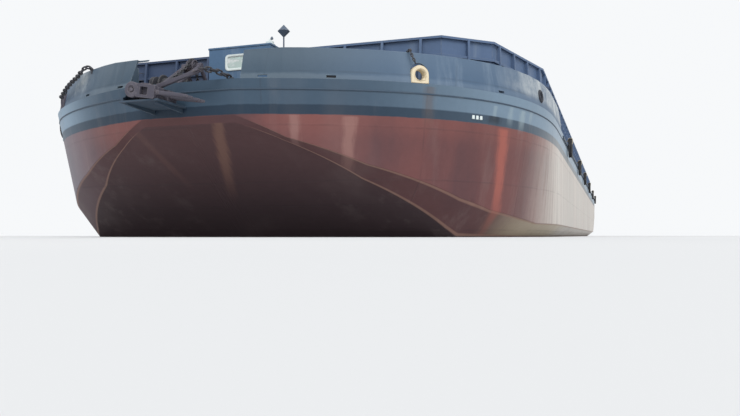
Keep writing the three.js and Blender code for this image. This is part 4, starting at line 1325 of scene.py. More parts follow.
@dataclass(frozen=True)
class BulwarkPaint(Finish):
    """Bulwark paint: slate with a pale worn strip along the foot and pale faded shoulders."""

    name: str = "bulwark_weathered"
    base: Colour = srgb(60, 77, 92)
    pale: Colour = srgb(140, 152, 160)
    faded: Colour = srgb(206, 210, 208)
    bloom: Colour = srgb(112, 144, 186)
    seam: Colour = srgb(44, 54, 64)
    foot: float = DEPTH
    faded_from: float = 10.1
    faded_starboard: tuple[float, float] = (4.8, 7.4)

    def paint(self, graph: Graph, shader: Node) -> None:
        """Streaked base, the strip by height, then soft fading by distance from the middle line."""
        place, foot = graph.place(), self.foot
        across, height = graph.real("X"), graph.real("Z")
        half, starboard = abs(across), across * -1.0
        rain = graph.group(streaking, Vector=place, Base=self.base, Streak=self.pale, Amount=0.3, Size=1.6)
        level = place.stretched((1, 1, 3.0), 5.0).noise(8.0, 6.0, 0.65) * 0.3 + height
        colour = (level.step(foot + 0.42, foot + 0.3) * 0.16).over(rain["Colour"], self.pale)
        colour = height.step(foot + 0.2, foot + 1.1, 0.1).over(colour, self.pale)
        colour = half.step(3.0, 9.0, 0.2).over(colour, self.bloom)
        seams = graph.group(plating, Along=across, Height=height)
        colour = (seams["Mask"] * 0.2).over(colour, self.seam)
        cloud = place.stretched((1, 1, 0.8), 2.0).noise(9.0, 5.0, 0.75)
        port = half.step(self.faded_from, self.faded_from + 1.6) * cloud.step(0.2, 0.75)
        near, far = self.faded_starboard
        patch = starboard.step(near, near + 1.0) * starboard.step(far, far - 1.0)
        patch = patch * cloud.step(0.35, 0.8, 0.6)
        share = height.step(foot + 0.1, foot + 0.5) * port.most(patch) * 0.8
        colour = share.over(colour, self.faded)
        worn = graph.group(wearing, Vector=place, Base=colour, Worn=self.pale, Amount=0.5)
        rust = graph.group(rusting, Vector=place, Base=worn["Colour"], Amount=0.06, Size=8.0)
        self.coat(graph, shader, rust["Colour"], rust["Mask"] * 0.3 + 0.55, 0.25)
        self.bump(graph, shader, rain["Height"], 0.25)


SLATE = WeatheredPaint(
    "sheer_bar_paint", srgb(60, 76, 92), srgb(110, 116, 120),
    streaks=0.3, rust=0.06, wear=0.2, size=1.6, roughness=0.55,
)
DECK = DeckPaint(
    "deck_paint", srgb(92, 82, 76), srgb(132, 118, 104),
    rust=0.5, wear=0.2, size=0.9, roughness=0.75,
)
WALL = WallPaint(
    "wall_paint", srgb(84, 104, 134), srgb(136, 148, 162), srgb(120, 128, 140),
    streaks=0.45, rust=0.14, wear=0.7, size=1.6, roughness=0.55,
)
HOUSE_PAINT = WeatheredPaint(
    "house_paint", srgb(78, 106, 136), srgb(140, 152, 164), srgb(120, 130, 142),
    streaks=0.3, rust=0.05, wear=0.4, size=2.2, roughness=0.5,
)
GEAR = WeatheredPaint(
    "gear_rust", srgb(80, 78, 88), srgb(124, 120, 128), srgb(138, 130, 130),
    streaks=0.4, rust=0.34, wear=0.6, size=6.0, roughness=0.78, metallic=0.1, relief=0.5,
)
STEEL = WeatheredPaint(
    "deck_steel", srgb(58, 60, 66), srgb(110, 104, 100), srgb(120, 116, 116),
    streaks=0.4, rust=0.3, wear=0.8, size=5.0, roughness=0.7, metallic=0.1, relief=0.4,
)
CREAM = WeatheredPaint(
    "chock_cream", srgb(222, 208, 180), srgb(150, 118, 92),
    streaks=0.4, rust=0.25, wear=0.7, size=7.0, roughness=0.6,
)
WHITE = WeatheredPaint(
    "frame_white", srgb(212, 221, 220), srgb(170, 164, 150),
    streaks=0.3, rust=0.06, wear=0.2, size=7.0, roughness=0.45,
)
BLACK = WeatheredPaint(
    "mark_dark", srgb(84, 96, 112), srgb(130, 138, 148),
    streaks=0.4, rust=0.06, wear=0.4, size=9.0, roughness=0.55,
)
ROPE = WeatheredPaint(
    "old_rope", srgb(176, 168, 150), srgb(110, 100, 86),
    rust=0.1, wear=0.0, size=20.0, roughness=0.9, relief=0.6,
)
CLOTH = WeatheredPaint(
    "curtain_cloth", srgb(246, 250, 248), srgb(150, 156, 150),
    streaks=0.3, rust=0.0, wear=0.0, size=12.0, roughness=0.9, relief=0.2,
)
BULWARK_PAINT, RUBBER, GLASS = BulwarkPaint(), Rubber(), ClearGlass()


# Sub-assemblies


class SubAssembly:
    """A group of pieces and the CAD nodes that it dresses; * in a node's name stands for each side."""

    looks: ClassVar[tuple[tuple[Finish, str], ...]] = ()

    def build(self) -> None:
        """Makes the pieces."""
        raise NotImplementedError

    def dress(self) -> None:
        """Gives the CAD nodes their finishes."""
        for finish, names in self.looks:
            for name in names.split():
                for node in dict.fromkeys(name.replace("*", side.word) for side in Side):
                    dress_node(node, finish)


@dataclass
class Hull(SubAssembly):
    """Shell, deck, transom and bottom as one smooth surface, with the sheer bar and the draught ticks."""

    looks = ((SLATE, "hull skeg_* fender_rail_*"),)
    stations: int = 150
    side_steps: int = 90
    corner_steps: int = 12
    levels: int = 26
    flat_steps: int = 8
    chamfer_steps: int = 6
    face_steps: int = 7
    knuckle: float = 5.15
    bar_proud: float = 0.025
    bar_height: float = 0.06
    rake_slope: float = 0.711
    rake_end: float = 6.4
    stern_start: float = 82.0
    stern_slope: float = 0.3
    flare: float = 0.2
    flare_full: float = 7.0
    flare_none: float = 15.5
    chine: tuple[tuple[float, float, float], ...] = (
        (0.24, 4.44, 0.12), (0.9, 3.53, 0.36), (2.18, 2.64, 0.85), (4.84, 1.51, 0.95),
        (6.47, 1.09, 0.9), (10.8, 0.62, 0.8), (LENGTH, 0.62, 0.8),
    )
    tick_places: tuple[float, ...] = (11.12, 11.32, 11.52)
    tick_height: float = 4.5

    def outline(self) -> Array:
        """Half-breadths and distances aft of the shell from the flat of the bow to the transom.

        Returns:
            One row for each station.
        """
        radius = BOW.corner_radius
        side = np.linspace(BOW.length, LENGTH - radius, self.side_steps + 1)[1:]
        angle = np.linspace(0, np.pi / 2, self.corner_steps + 1)[1:]
        return np.concatenate([
            BOW.outline(self.stations), columns(HALF_BEAM, side),
            columns(HALF_BEAM - radius * (1 - np.cos(angle)), LENGTH - radius * (1 - np.sin(angle))),
        ])

    def inwards(self, outline: Array) -> Array:
        """Unit vectors towards the inside, square to the bow and straight across aft of it."""
        run = unit(np.gradient(outline, axis=0))
        return np.where(outline[:, 1:] < BOW.length, columns(-run[:, 1], run[:, 0]), (-1.0, 0.0))

    def lean(self, aft: Array) -> Array:
        """Metres inwards for each metre down: the flare times one minus a smooth step aft."""
        share = np.clip((aft - self.flare_full) / (self.flare_none - self.flare_full), 0, 1)
        return self.flare * (1 - share * share * (3 - 2 * share))

    def bottom(self, aft: Array) -> Array:
        """Height of the bottom: the largest of 0, the slope at the bow and the slope at the stern."""
        bow = self.rake_slope * (self.rake_end - aft)
        return np.maximum(0, np.maximum(bow, self.stern_slope * (aft - self.stern_start)))

    def section(self, outline: Array) -> Array:
        """Port half of every section, from the middle of the bottom to the middle of the deck.

        The side runs straight from the deck edge down to the chine, which lies inwards by the lean
        times its depth. The chamfer runs from the chine inwards and down to the edge of the bottom.

        Args:
            outline: Half-breadth and distance aft of each station.

        Returns:
            Points as stations by levels by 3.
        """
        aft = outline[:, 1]
        place, level, width = np.array(self.chine).T
        height = np.interp(aft, place, level) + np.where(aft > self.stern_start, self.bottom(aft), 0)
        inwards = self.inwards(outline)
        inset = self.lean(aft) * (DEPTH - height)
        deck = columns(*outline.T, DEPTH)
        chine = columns(*(outline + inwards * inset[:, None]).T, height)
        edge = outline + inwards * (inset + np.interp(aft, place, width))[:, None]
        edge = columns(*edge.T, self.bottom(edge[:, 1]))
        middle = (0, 1, 1)
        points = [(edge * middle)[:, None]]
        for start, end, steps in (
            (edge * middle, edge, self.flat_steps), (edge, chine, self.chamfer_steps),
            (chine, deck, self.levels), (deck, deck * middle, self.flat_steps),
        ):
            share = np.linspace(0, 1, steps + 1)[None, 1:, None]
            points.append(start[:, None] + (end - start)[:, None] * share)
        return np.concatenate(points, axis=1)

    def surface(self) -> tuple[Form, Array]:
        """Closed hull: both halves of each section make a ring, and the rings run aft.

        The flat of the bow is the first ring drawn in towards the middle line by shares. The map is
        (distance round the shell with the sign of the side, height), and (across, height) on the flat.

        Returns:
            The hull, and its map, one row for each point.
        """
        outline = self.outline()
        port = self.section(outline)
        rings = np.concatenate([port, port[:, -2:0:-1] * (-1, 1, 1)], axis=1)
        face = np.linspace(0.001, 1, self.face_steps + 1)[:-1, None, None] * ACROSS + (0, 1, 1)
        rings = np.concatenate([rings[:1] * face, rings])
        around = np.concatenate([np.zeros(len(face)), travelled(outline) + BOW.around(outline[0, 0])])
        along = around[:, None] * np.where(rings[..., 0] >= 0, 1, -1)
        along = np.where(around[:, None] > 0, along, rings[..., 0])
        shell = np.stack([along, rings[..., 2]], axis=-1).reshape(-1, 2)
        ends = [(0, rings[0, :, 2].mean()), (around[-1], rings[-1, :, 2].mean())]
        return lattice(rings), np.concatenate([shell, ends])

    def ticks(self) -> Form:
        """Plain draught ticks: three small plates on the port bow, side by side.

        Returns:
            The joined plates.
        """
        outline = BOW.outline(self.stations)
        run = travelled(outline) + BOW.around(outline[0, 0])
        depth = self.flare * (DEPTH - self.tick_height)
        plate = block((-0.06, depth - 0.025, -0.07), (0.06, depth + 0.03, 0.07), 0.008)
        halves = np.interp(self.tick_places, run, outline[:, 0])
        return merge(BOW.seated(plate, float(half), self.tick_height) for half in halves)

    def zone(self, count: int) -> Array:
        """0 on the bottom, rising across the chamfer to 1 on the side and deck, for every point.

        Args:
            count: Number of points of the hull.

        Returns:
            One value for each point.
        """
        rise = np.linspace(0, 1, self.chamfer_steps + 1)[1:]
        above = self.levels + self.flat_steps
        half = np.concatenate([np.zeros(self.flat_steps + 1), rise, np.ones(above)])
        ring = np.concatenate([half, half[-2:0:-1]])
        return np.append(np.tile(ring, count // len(ring)), (1, 1)).astype(np.float32)

    def sheer_bar(self) -> Form:
        """Half-round bar round the shell along the knuckle line, as a strip along the outline.

        Returns:
            The closed bar.
        """
        outline = self.outline()
        inset = self.lean(outline[:, 1]) * (DEPTH - self.knuckle)
        outline = outline + self.inwards(outline) * inset[:, None]
        outline = outline[outline[:, 1] < LENGTH - BOW.corner_radius]
        path = columns(*np.concatenate([outline[::-1] * (-1, 1), outline]).T, self.knuckle)
        wide, tall = circle(8)
        ring = columns(wide * self.bar_proud, tall * self.bar_height / 2)
        offsets = np.einsum("sk,nkj->nsj", ring, path_frames(path, UP)[:, :2])
        return lattice(path[:, None, :] + offsets)

    def build(self) -> None:
        """Makes the hull with its two finishes, its map and its zones, then what lies on it."""
        form, shell = self.surface()
        mesh = fit_piece("hull_shell", form, HullPaint(), ["hull"], sharp=24)
        mesh.materials.append(DECK.material())
        normals = values_of(mesh.polygons, "normal", np.float32, 3)
        mesh.polygons.foreach_set("material_index", (normals[:, 2] > 0.9).astype(np.int32))
        corners = values_of(mesh.loops, "vertex_index", np.int32)
        transom = np.repeat(normals[:, 1] > 0.9, values_of(mesh.polygons, "loop_total", np.int32))
        shell = shell[corners]
        shell[transom, 0] = np.abs(shell[transom, 0])
        mesh.uv_layers.new(name="Shell").data.foreach_set("uv", shell.astype(np.float32).ravel())
        zone = mesh.attributes.new("Zone", "FLOAT", "CORNER")
        zone.data.foreach_set("value", np.where(transom, 1, self.zone(len(form.points))[corners]))
        fit_piece("draught_ticks", both(self.ticks()), WHITE)
        fit_piece("sheer_bar", self.sheer_bar(), SLATE, sharp=50)


@dataclass
class Bulwark(SubAssembly):
    """Bulwark round the bow: merged copies of the CAD plates, fairlead lips and the shoulder's chain."""

    looks = ((BULWARK_PAINT, "bulwark_*"),)
    sharp: float = 20.0
    fairlead_half: float = 11.63
    fairlead_rise: float = 0.48
    fairlead_radius: float = 0.19
    lean: float = 0.12
    chain_drop: tuple[tuple[float, float, float], ...] = (
        (5.2, 6.4, -0.36), (5.26, 6.68, -0.24), (5.36, 6.72, -0.08), (5.52, 6.56, 0.03),
        (5.9, 6.42, 0.03), (6.4, 6.3, 0.05), (6.96, 6.12, 0.08), (7.51, 5.9, 0.1),
    )

    def lip(self) -> Form:
        """Round bar about the fairlead hole: a closed tube on the shell's local axes.

        Returns:
            The port lip.
        """
        across, rise = circle(28, self.fairlead_radius + 0.03)
        rise = self.fairlead_rise + rise
        ring = columns(across, 0.03 + self.lean * rise, rise)
        return BOW.seated(pipe(ring, 0.06, 10, (0, 1, 0.01), True), self.fairlead_half)

    def shoulder_chain(self) -> Form:
        """Old chain over the starboard rail and down the outside, by half, height and distance out.

        Returns:
            The chain.
        """
        half, height, away = np.array(self.chain_drop).T
        outwards = -np.array([BOW.inward(value) for value in half])
        route = columns(half, BOW.aft(half), height) + outwards * away[:, None]
        return chain(smooth_route(route, 8), 0.15, link(0.25, 0.19, 0.07), 0.5).mirrored()

    def build(self) -> None:
        """Makes both bulwarks and what hangs on them."""
        for side in Side:
            node = f"bulwark_{side.word}"
            piece = link_mesh(merged_copy(node, f"bulwark_plate_{side.word}"), self.sharp)
            register(piece, BULWARK_PAINT, "barge", [node])
        # The lips are dark steel and broad, so they also give the dark oval of the fairlead: partly painted
        # shade of the hole.
        fit_piece("fairlead_lips", both(self.lip()), STEEL, sharp=60)
        fit_piece("shoulder_chain", self.shoulder_chain(), STEEL, sharp=60)


@dataclass
class Mooring(SubAssembly):
    """Chocks in the bulwark with a chain at one of them, and the bitts."""

    looks = ((CREAM, "mooring_chock_*"), (STEEL, "bitts_bow_* bitts_stern_*"))
    half: float = 7.95
    width: float = 0.694
    height: float = 0.66
    hole: float = 0.19
    rise: float = 0.32
    front: float = 0.02
    depth: float = 0.36
    sides: int = 72
    bitts: tuple[tuple[str, float, float], ...] = (("bow", 6.2, 4.0), ("stern", 8.0, 89.5))
    post_radius: float = 0.18
    spacing: float = 1.0
    paints: tuple[Finish, Finish] = (CREAM, GEAR)

    def chock(self) -> Form:
        """Arched block with a round hole: points run from the hole's circle to the arch by shares.

        The arch lies, in each direction from the hole, at the nearest of the foot, the sides and
        the round top. Each ring of the grid is circle + share (arch - circle) at its own depth.

        Returns:
            The port chock.
        """
        cos, sin = circle(self.sides)
        half = self.width / 2
        below = self.rise - (self.height - half)
        top = -below * sin + np.sqrt(half**2 - (below * cos) ** 2)
        side = half / np.maximum(np.abs(cos), 1e-6)
        foot = np.where(sin < -1e-6, self.rise / np.maximum(-sin, 1e-6), np.inf)
        reach = np.where(sin > 0, top, np.minimum(side, foot))
        front, back = self.front, self.front + self.depth
        share, depth = np.array([
            (0, front + 0.07), (0.06, front + 0.02), (0.2, front - 0.012), (0.36, front + 0.012),
            (0.88, front + 0.012), (1, front + 0.04), (1, back - 0.04), (0.88, back), (0.2, back),
            (0.06, back - 0.02), (0, back - 0.07),
        ]).T
        radius = self.hole + share * (reach[:, None] - self.hole)
        across, rise = radius * cos[:, None], self.rise + radius * sin[:, None]
        points = np.stack(np.broadcast_arrays(across, depth, rise), axis=-1)
        return BOW.seated(lattice(points, ring=True), self.half, FLOOR)

    def chock_chain(self) -> Form:
        """Short chain from the rail down to the chock.

        Returns:
            The chain on the port side.
        """
        route = [(-0.34, 0.38, 1.2), (-0.36, 0.14, 1.2), (-0.33, 0.06, 1.02), (-0.24, -0.03, 0.74)]
        return BOW.seated(chain(smooth_route(route, 8), 0.1, link(0.17, 0.11, 0.036), 0.4), self.half)

    def pair(self, half: float, aft: float) -> Form:
        """Two posts with round caps and a cross bar on one base plate.

        Args:
            half: Half-breadth of the middle.
            aft: Its distance aft.

        Returns:
            The joined forms.
        """
        r, bar = self.post_radius, FLOOR + 0.42
        post = [
            (0.001, 0.03), (r + 0.05, 0.04), (r + 0.012, 0.1), (r, 0.14), (r, 0.66),
            (r + 0.05, 0.68), (r + 0.05, 0.735), (r + 0.02, 0.755), (0.001, 0.758),
        ]
        reach = self.spacing / 2 + r + 0.16
        return merge([
            block((half - 0.8, aft - 0.3, FLOOR), (half + 0.8, aft + 0.3, FLOOR + 0.08), 0.03),
            *(spin(post, 32, (half + sign * self.spacing / 2, aft, FLOOR)) for sign in (-1, 1)),
            pipe([(half - reach, aft, bar), (half + reach, aft, bar)], 0.05, 12),
        ])

    def build(self) -> None:
        """Makes the chocks and the bitts of both sides."""
        for side, paint in zip(Side, self.paints):
            word = side.word
            fit_piece(f"chock_{word}", side.of(self.chock()), paint, [f"mooring_chock_{word}"])
            for end, half, aft in self.bitts:
                pair, node = side.of(self.pair(half, aft)), f"bitts_{end}_{word}"
                fit_piece(f"bitt_pair_{end}_{word}", pair, STEEL, [node])
        fit_piece("chock_chain", self.chock_chain(), STEEL, sharp=60)


@dataclass
class Anchor(SubAssembly):
    """Anchor on the bow: shank and pin stand still, the head with its flukes swings on the pin."""

    looks = ((GEAR, "anchor_flukes anchor_shank anchor_cable"), (SLATE, "anchor_cradle"))
    pin: tuple[float, float, float] = (-0.95, -0.62, 5.0)
    crown_radius: float = 0.27
    crown_reach: float = 0.65
    slot: float = 0.118
    fingers: tuple[float, ...] = (-0.52, -0.22, 0.22, 0.52)
    fluke_tilt: float = -0.155
    shank_tilt: float = 0.27
    pin_radius: float = 0.066
    route: tuple[tuple[float, float, float], ...] = (
        (1.42, -0.6, 0.16), (1.56, 0.0, 0.2), (1.68, 0.8, 0.11), (1.28, 1.6, 0.11),
        (0.25, 2.2, 0.11), (-0.9, 2.42, 0.11), (-2.1, 2.6, 0.11),
    )

    def hung(self, parts: Sequence[Form], tilt: float) -> Form:
        """Parts joined at the pin, their first axis rising towards port by a tilt in radians."""
        cos, sin = math.cos(tilt), math.sin(tilt)
        return merge(parts).placed(self.pin, [(cos, 0, sin), AFT, (-sin, 0, cos)])

    def head(self) -> Form:
        """Crown in two bored halves, two tapered lobes, a square pocket in the front one, and fingers.

        The bored halves are turned about the pin. The lobes and fingers are bars along the local
        first axis, and the pocket is a frame of constant section round a square.

        Returns:
            The joined head.
        """
        r, slot, end = self.crown_radius, self.slot, self.crown_reach
        half = [
            (0.082, slot), (r - 0.02, slot), (r, slot + 0.02), (r, end - 0.02),
            (r - 0.02, end), (0.14, end), (0.12, end - 0.04), (0.082, end - 0.04),
        ]
        parts = [block((-0.268, -0.2, -0.15), (-0.14, 0.2, 0.15), 0.03)]
        for sign in (-1, 1):
            parts.append(spin(half, 36, axis=(0, sign, 0), ring=True))
            depth = 0.36 if sign < 0 else end - slot
            middle = sign * (slot + depth / 2)
            rows = [(0.09, depth, 0.5), (0.5, depth, 0.47), (0.93, depth, 0.4), (0.95, depth - 0.04, 0.36)]
            parts.append(tapered_bar(rows, 0.08).placed((0, middle, 0)))
            parts.append(block((0.12, middle - 0.07, -0.3), (0.5, middle + 0.07, 0.3), 0.03))
        finger = tapered_bar([
            (0.8, 0.15, 0.2), (0.98, 0.15, 0.19), (1.04, 0.12, 0.14), (1.6, 0.12, 0.13),
            (2.0, 0.09, 0.11), (2.12, 0.08, 0.09), (2.15, 0.05, 0.05),
        ], 0.3)
        parts += [finger.placed((0, place, 0)) for place in self.fingers]
        outer, inner = rounded_outline(0.74, 0.46, 0.05, 4), rounded_outline(0.3, 0.27, 0.03, 4)
        pocket = collar(outer, inner - (0.06, 0), 0.47, 0.648)
        parts.append(pocket.placed((0.56, 0, 0), FACING))
        strap = tapered_bar([(0.98, 0.504, 0.1), (1.04, 0.504, 0.1)], 0.2)
        parts += [strap.placed((0, place, 0)) for place in (-0.37, 0.37)]
        return self.hung(parts, self.fluke_tilt)

    def shank(self) -> Form:
        """Eye, tapered shank, pin with nuts, and the shackle at the free end.

        Returns:
            The joined shank.
        """
        eye = [(0.068, -0.08), (0.1, -0.08), (0.1, 0.08), (0.068, 0.08)]
        rows = [
            (0.06, 0.15, 0.12), (0.3, 0.15, 0.17), (0.7, 0.14, 0.17), (1.8, 0.12, 0.13),
            (2.05, 0.13, 0.17), (2.27, 0.12, 0.15), (2.3, 0.09, 0.1),
        ]
        reach = self.crown_reach
        pin = two_way([(0.001, -reach), (0.055, -reach), (self.pin_radius, -reach + 0.015)])
        angle = np.linspace(-0.5 * np.pi, 0.5 * np.pi, 11)
        bow = columns(2.34 + 0.12 * np.cos(angle), 0.11 * np.sin(angle), 0)
        parts = [
            spin(eye, 24, axis=AFT, ring=True), tapered_bar(rows, 0.2), spin(pin, 18, axis=AFT),
            pipe([(2.14, -0.11, 0), *bow, (2.14, 0.11, 0)], 0.032, 10),
            pipe([(2.16, -0.17, 0), (2.16, 0.17, 0)], 0.036, 10),
        ]
        return self.hung(parts, self.shank_tilt)

    def build(self) -> None:
        """Makes the anchor and its cable of real links."""
        fit_piece("anchor_head", self.head(), GEAR, ["anchor_flukes"], "flukes")
        fit_piece("anchor_arm", self.shank(), GEAR, ["anchor_shank"])
        route = smooth_route(np.array(self.route) + (0, 0, FLOOR), 10)
        cable = chain(route, 0.26, link(0.38, 0.22, 0.065, 5, 8))
        fit_piece("cable_links", cable, STEEL, ["anchor_cable"], sharp=60)


@dataclass
class ChainFrame(SubAssembly):
    """Raking frame with the sheave at its head, and the chain heaped over it."""

    looks = ((GEAR, "chain_frame chain_sheave"),)
    half: float = -0.82
    gauge: float = 0.66
    front: float = 0.75
    back: float = 3.05
    aft: float = 2.25
    rise: float = 1.05
    leg: float = 0.07
    wheel: float = 0.24
    groove: float = 0.16
    pad: float = 0.16

    def frame(self) -> Form:
        """Four pipe legs with pads and bolts, a cross pipe, a gusset at each head, and the shaft.

        Returns:
            The joined frame.
        """
        head, pad, reach = DEPTH + self.rise, self.pad, self.gauge / 2
        bolt = spin([(0.001, 0), (0.028, 0), (0.028, 0.03), (0.001, 0.034)], 6)
        bolts = [(x * pad * 0.72, y * pad * 0.72, 0.058) for x in (-1, 1) for y in (-1, 1)]
        foot = merge([block((-pad, -pad, 0), (pad, pad, 0.06), 0.015), bolt.copies(bolts)])
        gusset = [(self.aft - 0.36, head - 0.24), (self.aft, head + 0.06), (self.aft + 0.2, head - 0.24)]
        cap = two_way([(0.001, -0.1), (0.1, -0.1), (0.11, -0.085)])
        parts = []
        for across in (self.half - reach, self.half + reach):
            for aft in (self.front, self.back):
                leg = [(across, aft, FLOOR + 0.05), (across, self.aft, head)]
                parts += [pipe(leg, self.leg, 16, ACROSS), foot.placed((across, aft, FLOOR))]
            parts.append(upright_slab(gusset, across - 0.02, across + 0.02))
            parts.append(spin(cap, 20, (across, self.aft, head), ACROSS))
        middle = (self.front + self.aft) / 2
        for aft, height, radius in ((self.aft, head, 0.055), (middle, DEPTH + self.rise / 2, 0.056)):
            run = [(self.half - reach, aft, height), (self.half + reach, aft, height)]
            parts.append(pipe(run, radius, 14))
        return merge(parts)

    def sheave(self) -> Form:
        """Grooved wheel: a closed profile of rim, groove and bore, with a row of bosses on each face.

        Returns:
            The joined sheave.
        """
        r, g = self.wheel, self.groove
        profile = two_way([
            (0.07, -0.14), (0.1, -0.15), (0.12, -0.11), (r - 0.05, -0.11), (r - 0.03, -0.15),
            (r, -0.14), (r, -0.105), (g, -0.04),
        ])
        origin = (self.half, self.aft, DEPTH + self.rise)
        boss = spin(two_way([(0.001, -0.125), (0.022, -0.125)]), 10, axis=ACROSS)
        bosses = boss.copies(columns(0, *circle(6, 0.155)) + origin)
        return merge([spin(profile, 48, origin, ACROSS, ring=True), bosses])

    def draped_chain(self) -> Form:
        """Spare chain over the sheave: an arc of links in the groove, then down to a heap on deck.

        Returns:
            The chain.
        """
        angle = np.linspace(0.15, math.pi - 0.1, 12)
        reach = self.groove + 0.095
        height = DEPTH + self.rise + reach * np.sin(angle)
        arc = columns(self.half, self.aft - reach * np.cos(angle), height)
        route = smooth_route([
            (self.half, self.front + 0.15, DEPTH + 0.3), (self.half, self.aft - 0.7, DEPTH + 0.72), *arc,
            (self.half, self.aft + 0.36, DEPTH + 0.6), (self.half + 0.05, self.aft + 0.5, DEPTH + 0.13),
        ], 6)
        return chain(route, 0.15, link(0.23, 0.13, 0.045), 0.78)

    def build(self) -> None:
        """Makes the frame, the sheave that spins in it and the chain over it."""
        fit_piece("frame_pipes", self.frame(), GEAR, ["chain_frame"])
        fit_piece("sheave_wheel", self.sheave(), GEAR, ["chain_sheave"], "sheave")
        fit_piece("draped_chain", self.draped_chain(), STEEL, sharp=60)


@dataclass
class Windlass(SubAssembly):
    """Anchor windlass: rope drum between two cheeks, gear case, motor and brake."""

    looks = ((STEEL, "windlass_drum windlass_frame"),)
    half: float = -2.3
    aft: float = 3.2
    rise: float = 0.62
    drum_radius: float = 0.26
    flange_radius: float = 0.44
    reach: float = 0.475
    side: float = 0.06
    cheek: float = 0.1
    gear: float = 0.3
    wraps: int = 13
    spokes: int = 8

    def drum(self) -> Form:
        """Shaft, ribbed flanges and wound rope: the core's radius swells by |sin| at each wrap.

        Returns:
            The joined drum.
        """
        f, e = self.flange_radius, self.reach
        along = np.linspace(-e + 0.07, e - 0.07, self.wraps * 8 + 1)
        wave = np.abs(np.sin(np.linspace(0, self.wraps * np.pi, len(along))))
        rope = columns(self.drum_radius + 0.045 * wave**0.6, along)
        shaft = e + self.side + self.cheek + 0.05
        ends = two_way([
            (0.001, -shaft), (0.078, -shaft), (0.078, -e), (f - 0.015, -e), (f, -e + 0.015),
            (f, -e + 0.055), (f - 0.015, -e + 0.07),
        ])
        origin = (self.half, self.aft, DEPTH + self.rise)
        parts = [spin([*ends[:7], *rope, *ends[7:]], 48, origin, ACROSS)]
        outwards = columns(0, *circle(self.spokes))
        across = np.broadcast_to(ACROSS, outwards.shape)
        axes = np.stack([across, outwards, np.cross(across, outwards)], axis=1)
        for low, high in ((-e - 0.025, -e + 0.01), (e - 0.01, e + 0.025)):
            rib = block((low, 0.1, -0.015), (high, f - 0.03, 0.015), 0.005)
            parts.append(rib.copies([origin] * self.spokes, axes))
        return merge(parts)

    def frame(self) -> Form:
        """Base, two cheeks with bearings, gear case, motor and brake wheel.

        Returns:
            The joined frame.
        """
        x, y, centre = self.half, self.aft, DEPTH + self.rise
        inner = self.reach + self.side
        outer = inner + self.cheek
        far = outer + self.gear
        parts = [block((x - far, y - 0.42, FLOOR), (x + outer + 0.05, y + 0.42, FLOOR + 0.1), 0.02)]
        cheek = [
            (y - 0.34, FLOOR + 0.08), (y + 0.34, FLOOR + 0.08), (y + 0.2, centre + 0.08),
            (y + 0.12, centre + 0.16), (y - 0.12, centre + 0.16), (y - 0.2, centre + 0.08),
        ]
        for low in (x - outer, x + inner):
            plate = upright_slab(cheek, low, low + 0.035)
            parts += [plate, plate.placed((self.cheek - 0.035, 0, 0))]
        bearing = two_way([(0.09, -0.05), (0.14, -0.05)])
        for face in (x - outer + 0.02, x + outer - 0.02):
            parts.append(spin(bearing, 24, (face, y, centre), ACROSS, ring=True))
        case = [
            (0.001, 0), (0.34, 0), (0.39, 0.03), (0.39, 0.06), (0.36, 0.08), (0.36, 0.15), (0.39, 0.17),
            (0.39, 0.2), (0.3, 0.225), (0.001, 0.225),
        ]
        parts.append(spin(case, 40, (x - far, y, centre), ACROSS))
        bolt = spin([(0.001, 0), (0.022, 0.004), (0.022, 0.03), (0.001, 0.03)], 6, axis=ACROSS)
        parts.append(bolt.copies(columns(0, *circle(12, 0.31)) + (x - far - 0.008, y, centre)))
        low = (x - far + 0.04, y - 0.22, FLOOR + 0.05)
        parts.append(block(low, (x - outer - 0.06, y + 0.22, centre - 0.2), 0.02))
        motor = [
            (0.001, 0), (0.11, 0), (0.13, 0.02), (0.13, 0.1), (0.12, 0.11), (0.12, 0.3), (0.13, 0.31),
            (0.13, 0.34), (0.1, 0.37), (0.001, 0.37),
        ]
        parts.append(spin(motor, 28, (x - far + 0.14, y + 0.05, centre - 0.16), AFT))
        hub = np.array((x + outer + 0.02, y - 0.3, FLOOR + 0.52))
        wheel = columns(0, *circle(24, 0.14)) + hub
        return merge(parts + [
            pipe(wheel, 0.014, 8, (1, 0.01, 0), True),
            pipe([hub - (0, 0.14, 0), hub + (0, 0.14, 0)], 0.01, 6),
            pipe([hub - (0, 0, 0.14), hub + (0, 0, 0.14)], 0.01, 6, ACROSS),
            pipe([hub, (hub[0], hub[1] + 0.05, FLOOR + 0.06)], 0.018, 8, ACROSS),
        ])

    def build(self) -> None:
        """Makes the drum that spins and the frame that holds it."""
        fit_piece("drum_wound", self.drum(), STEEL, ["windlass_drum"], "drum")
        fit_piece("windlass_body", self.frame(), STEEL, ["windlass_frame"])


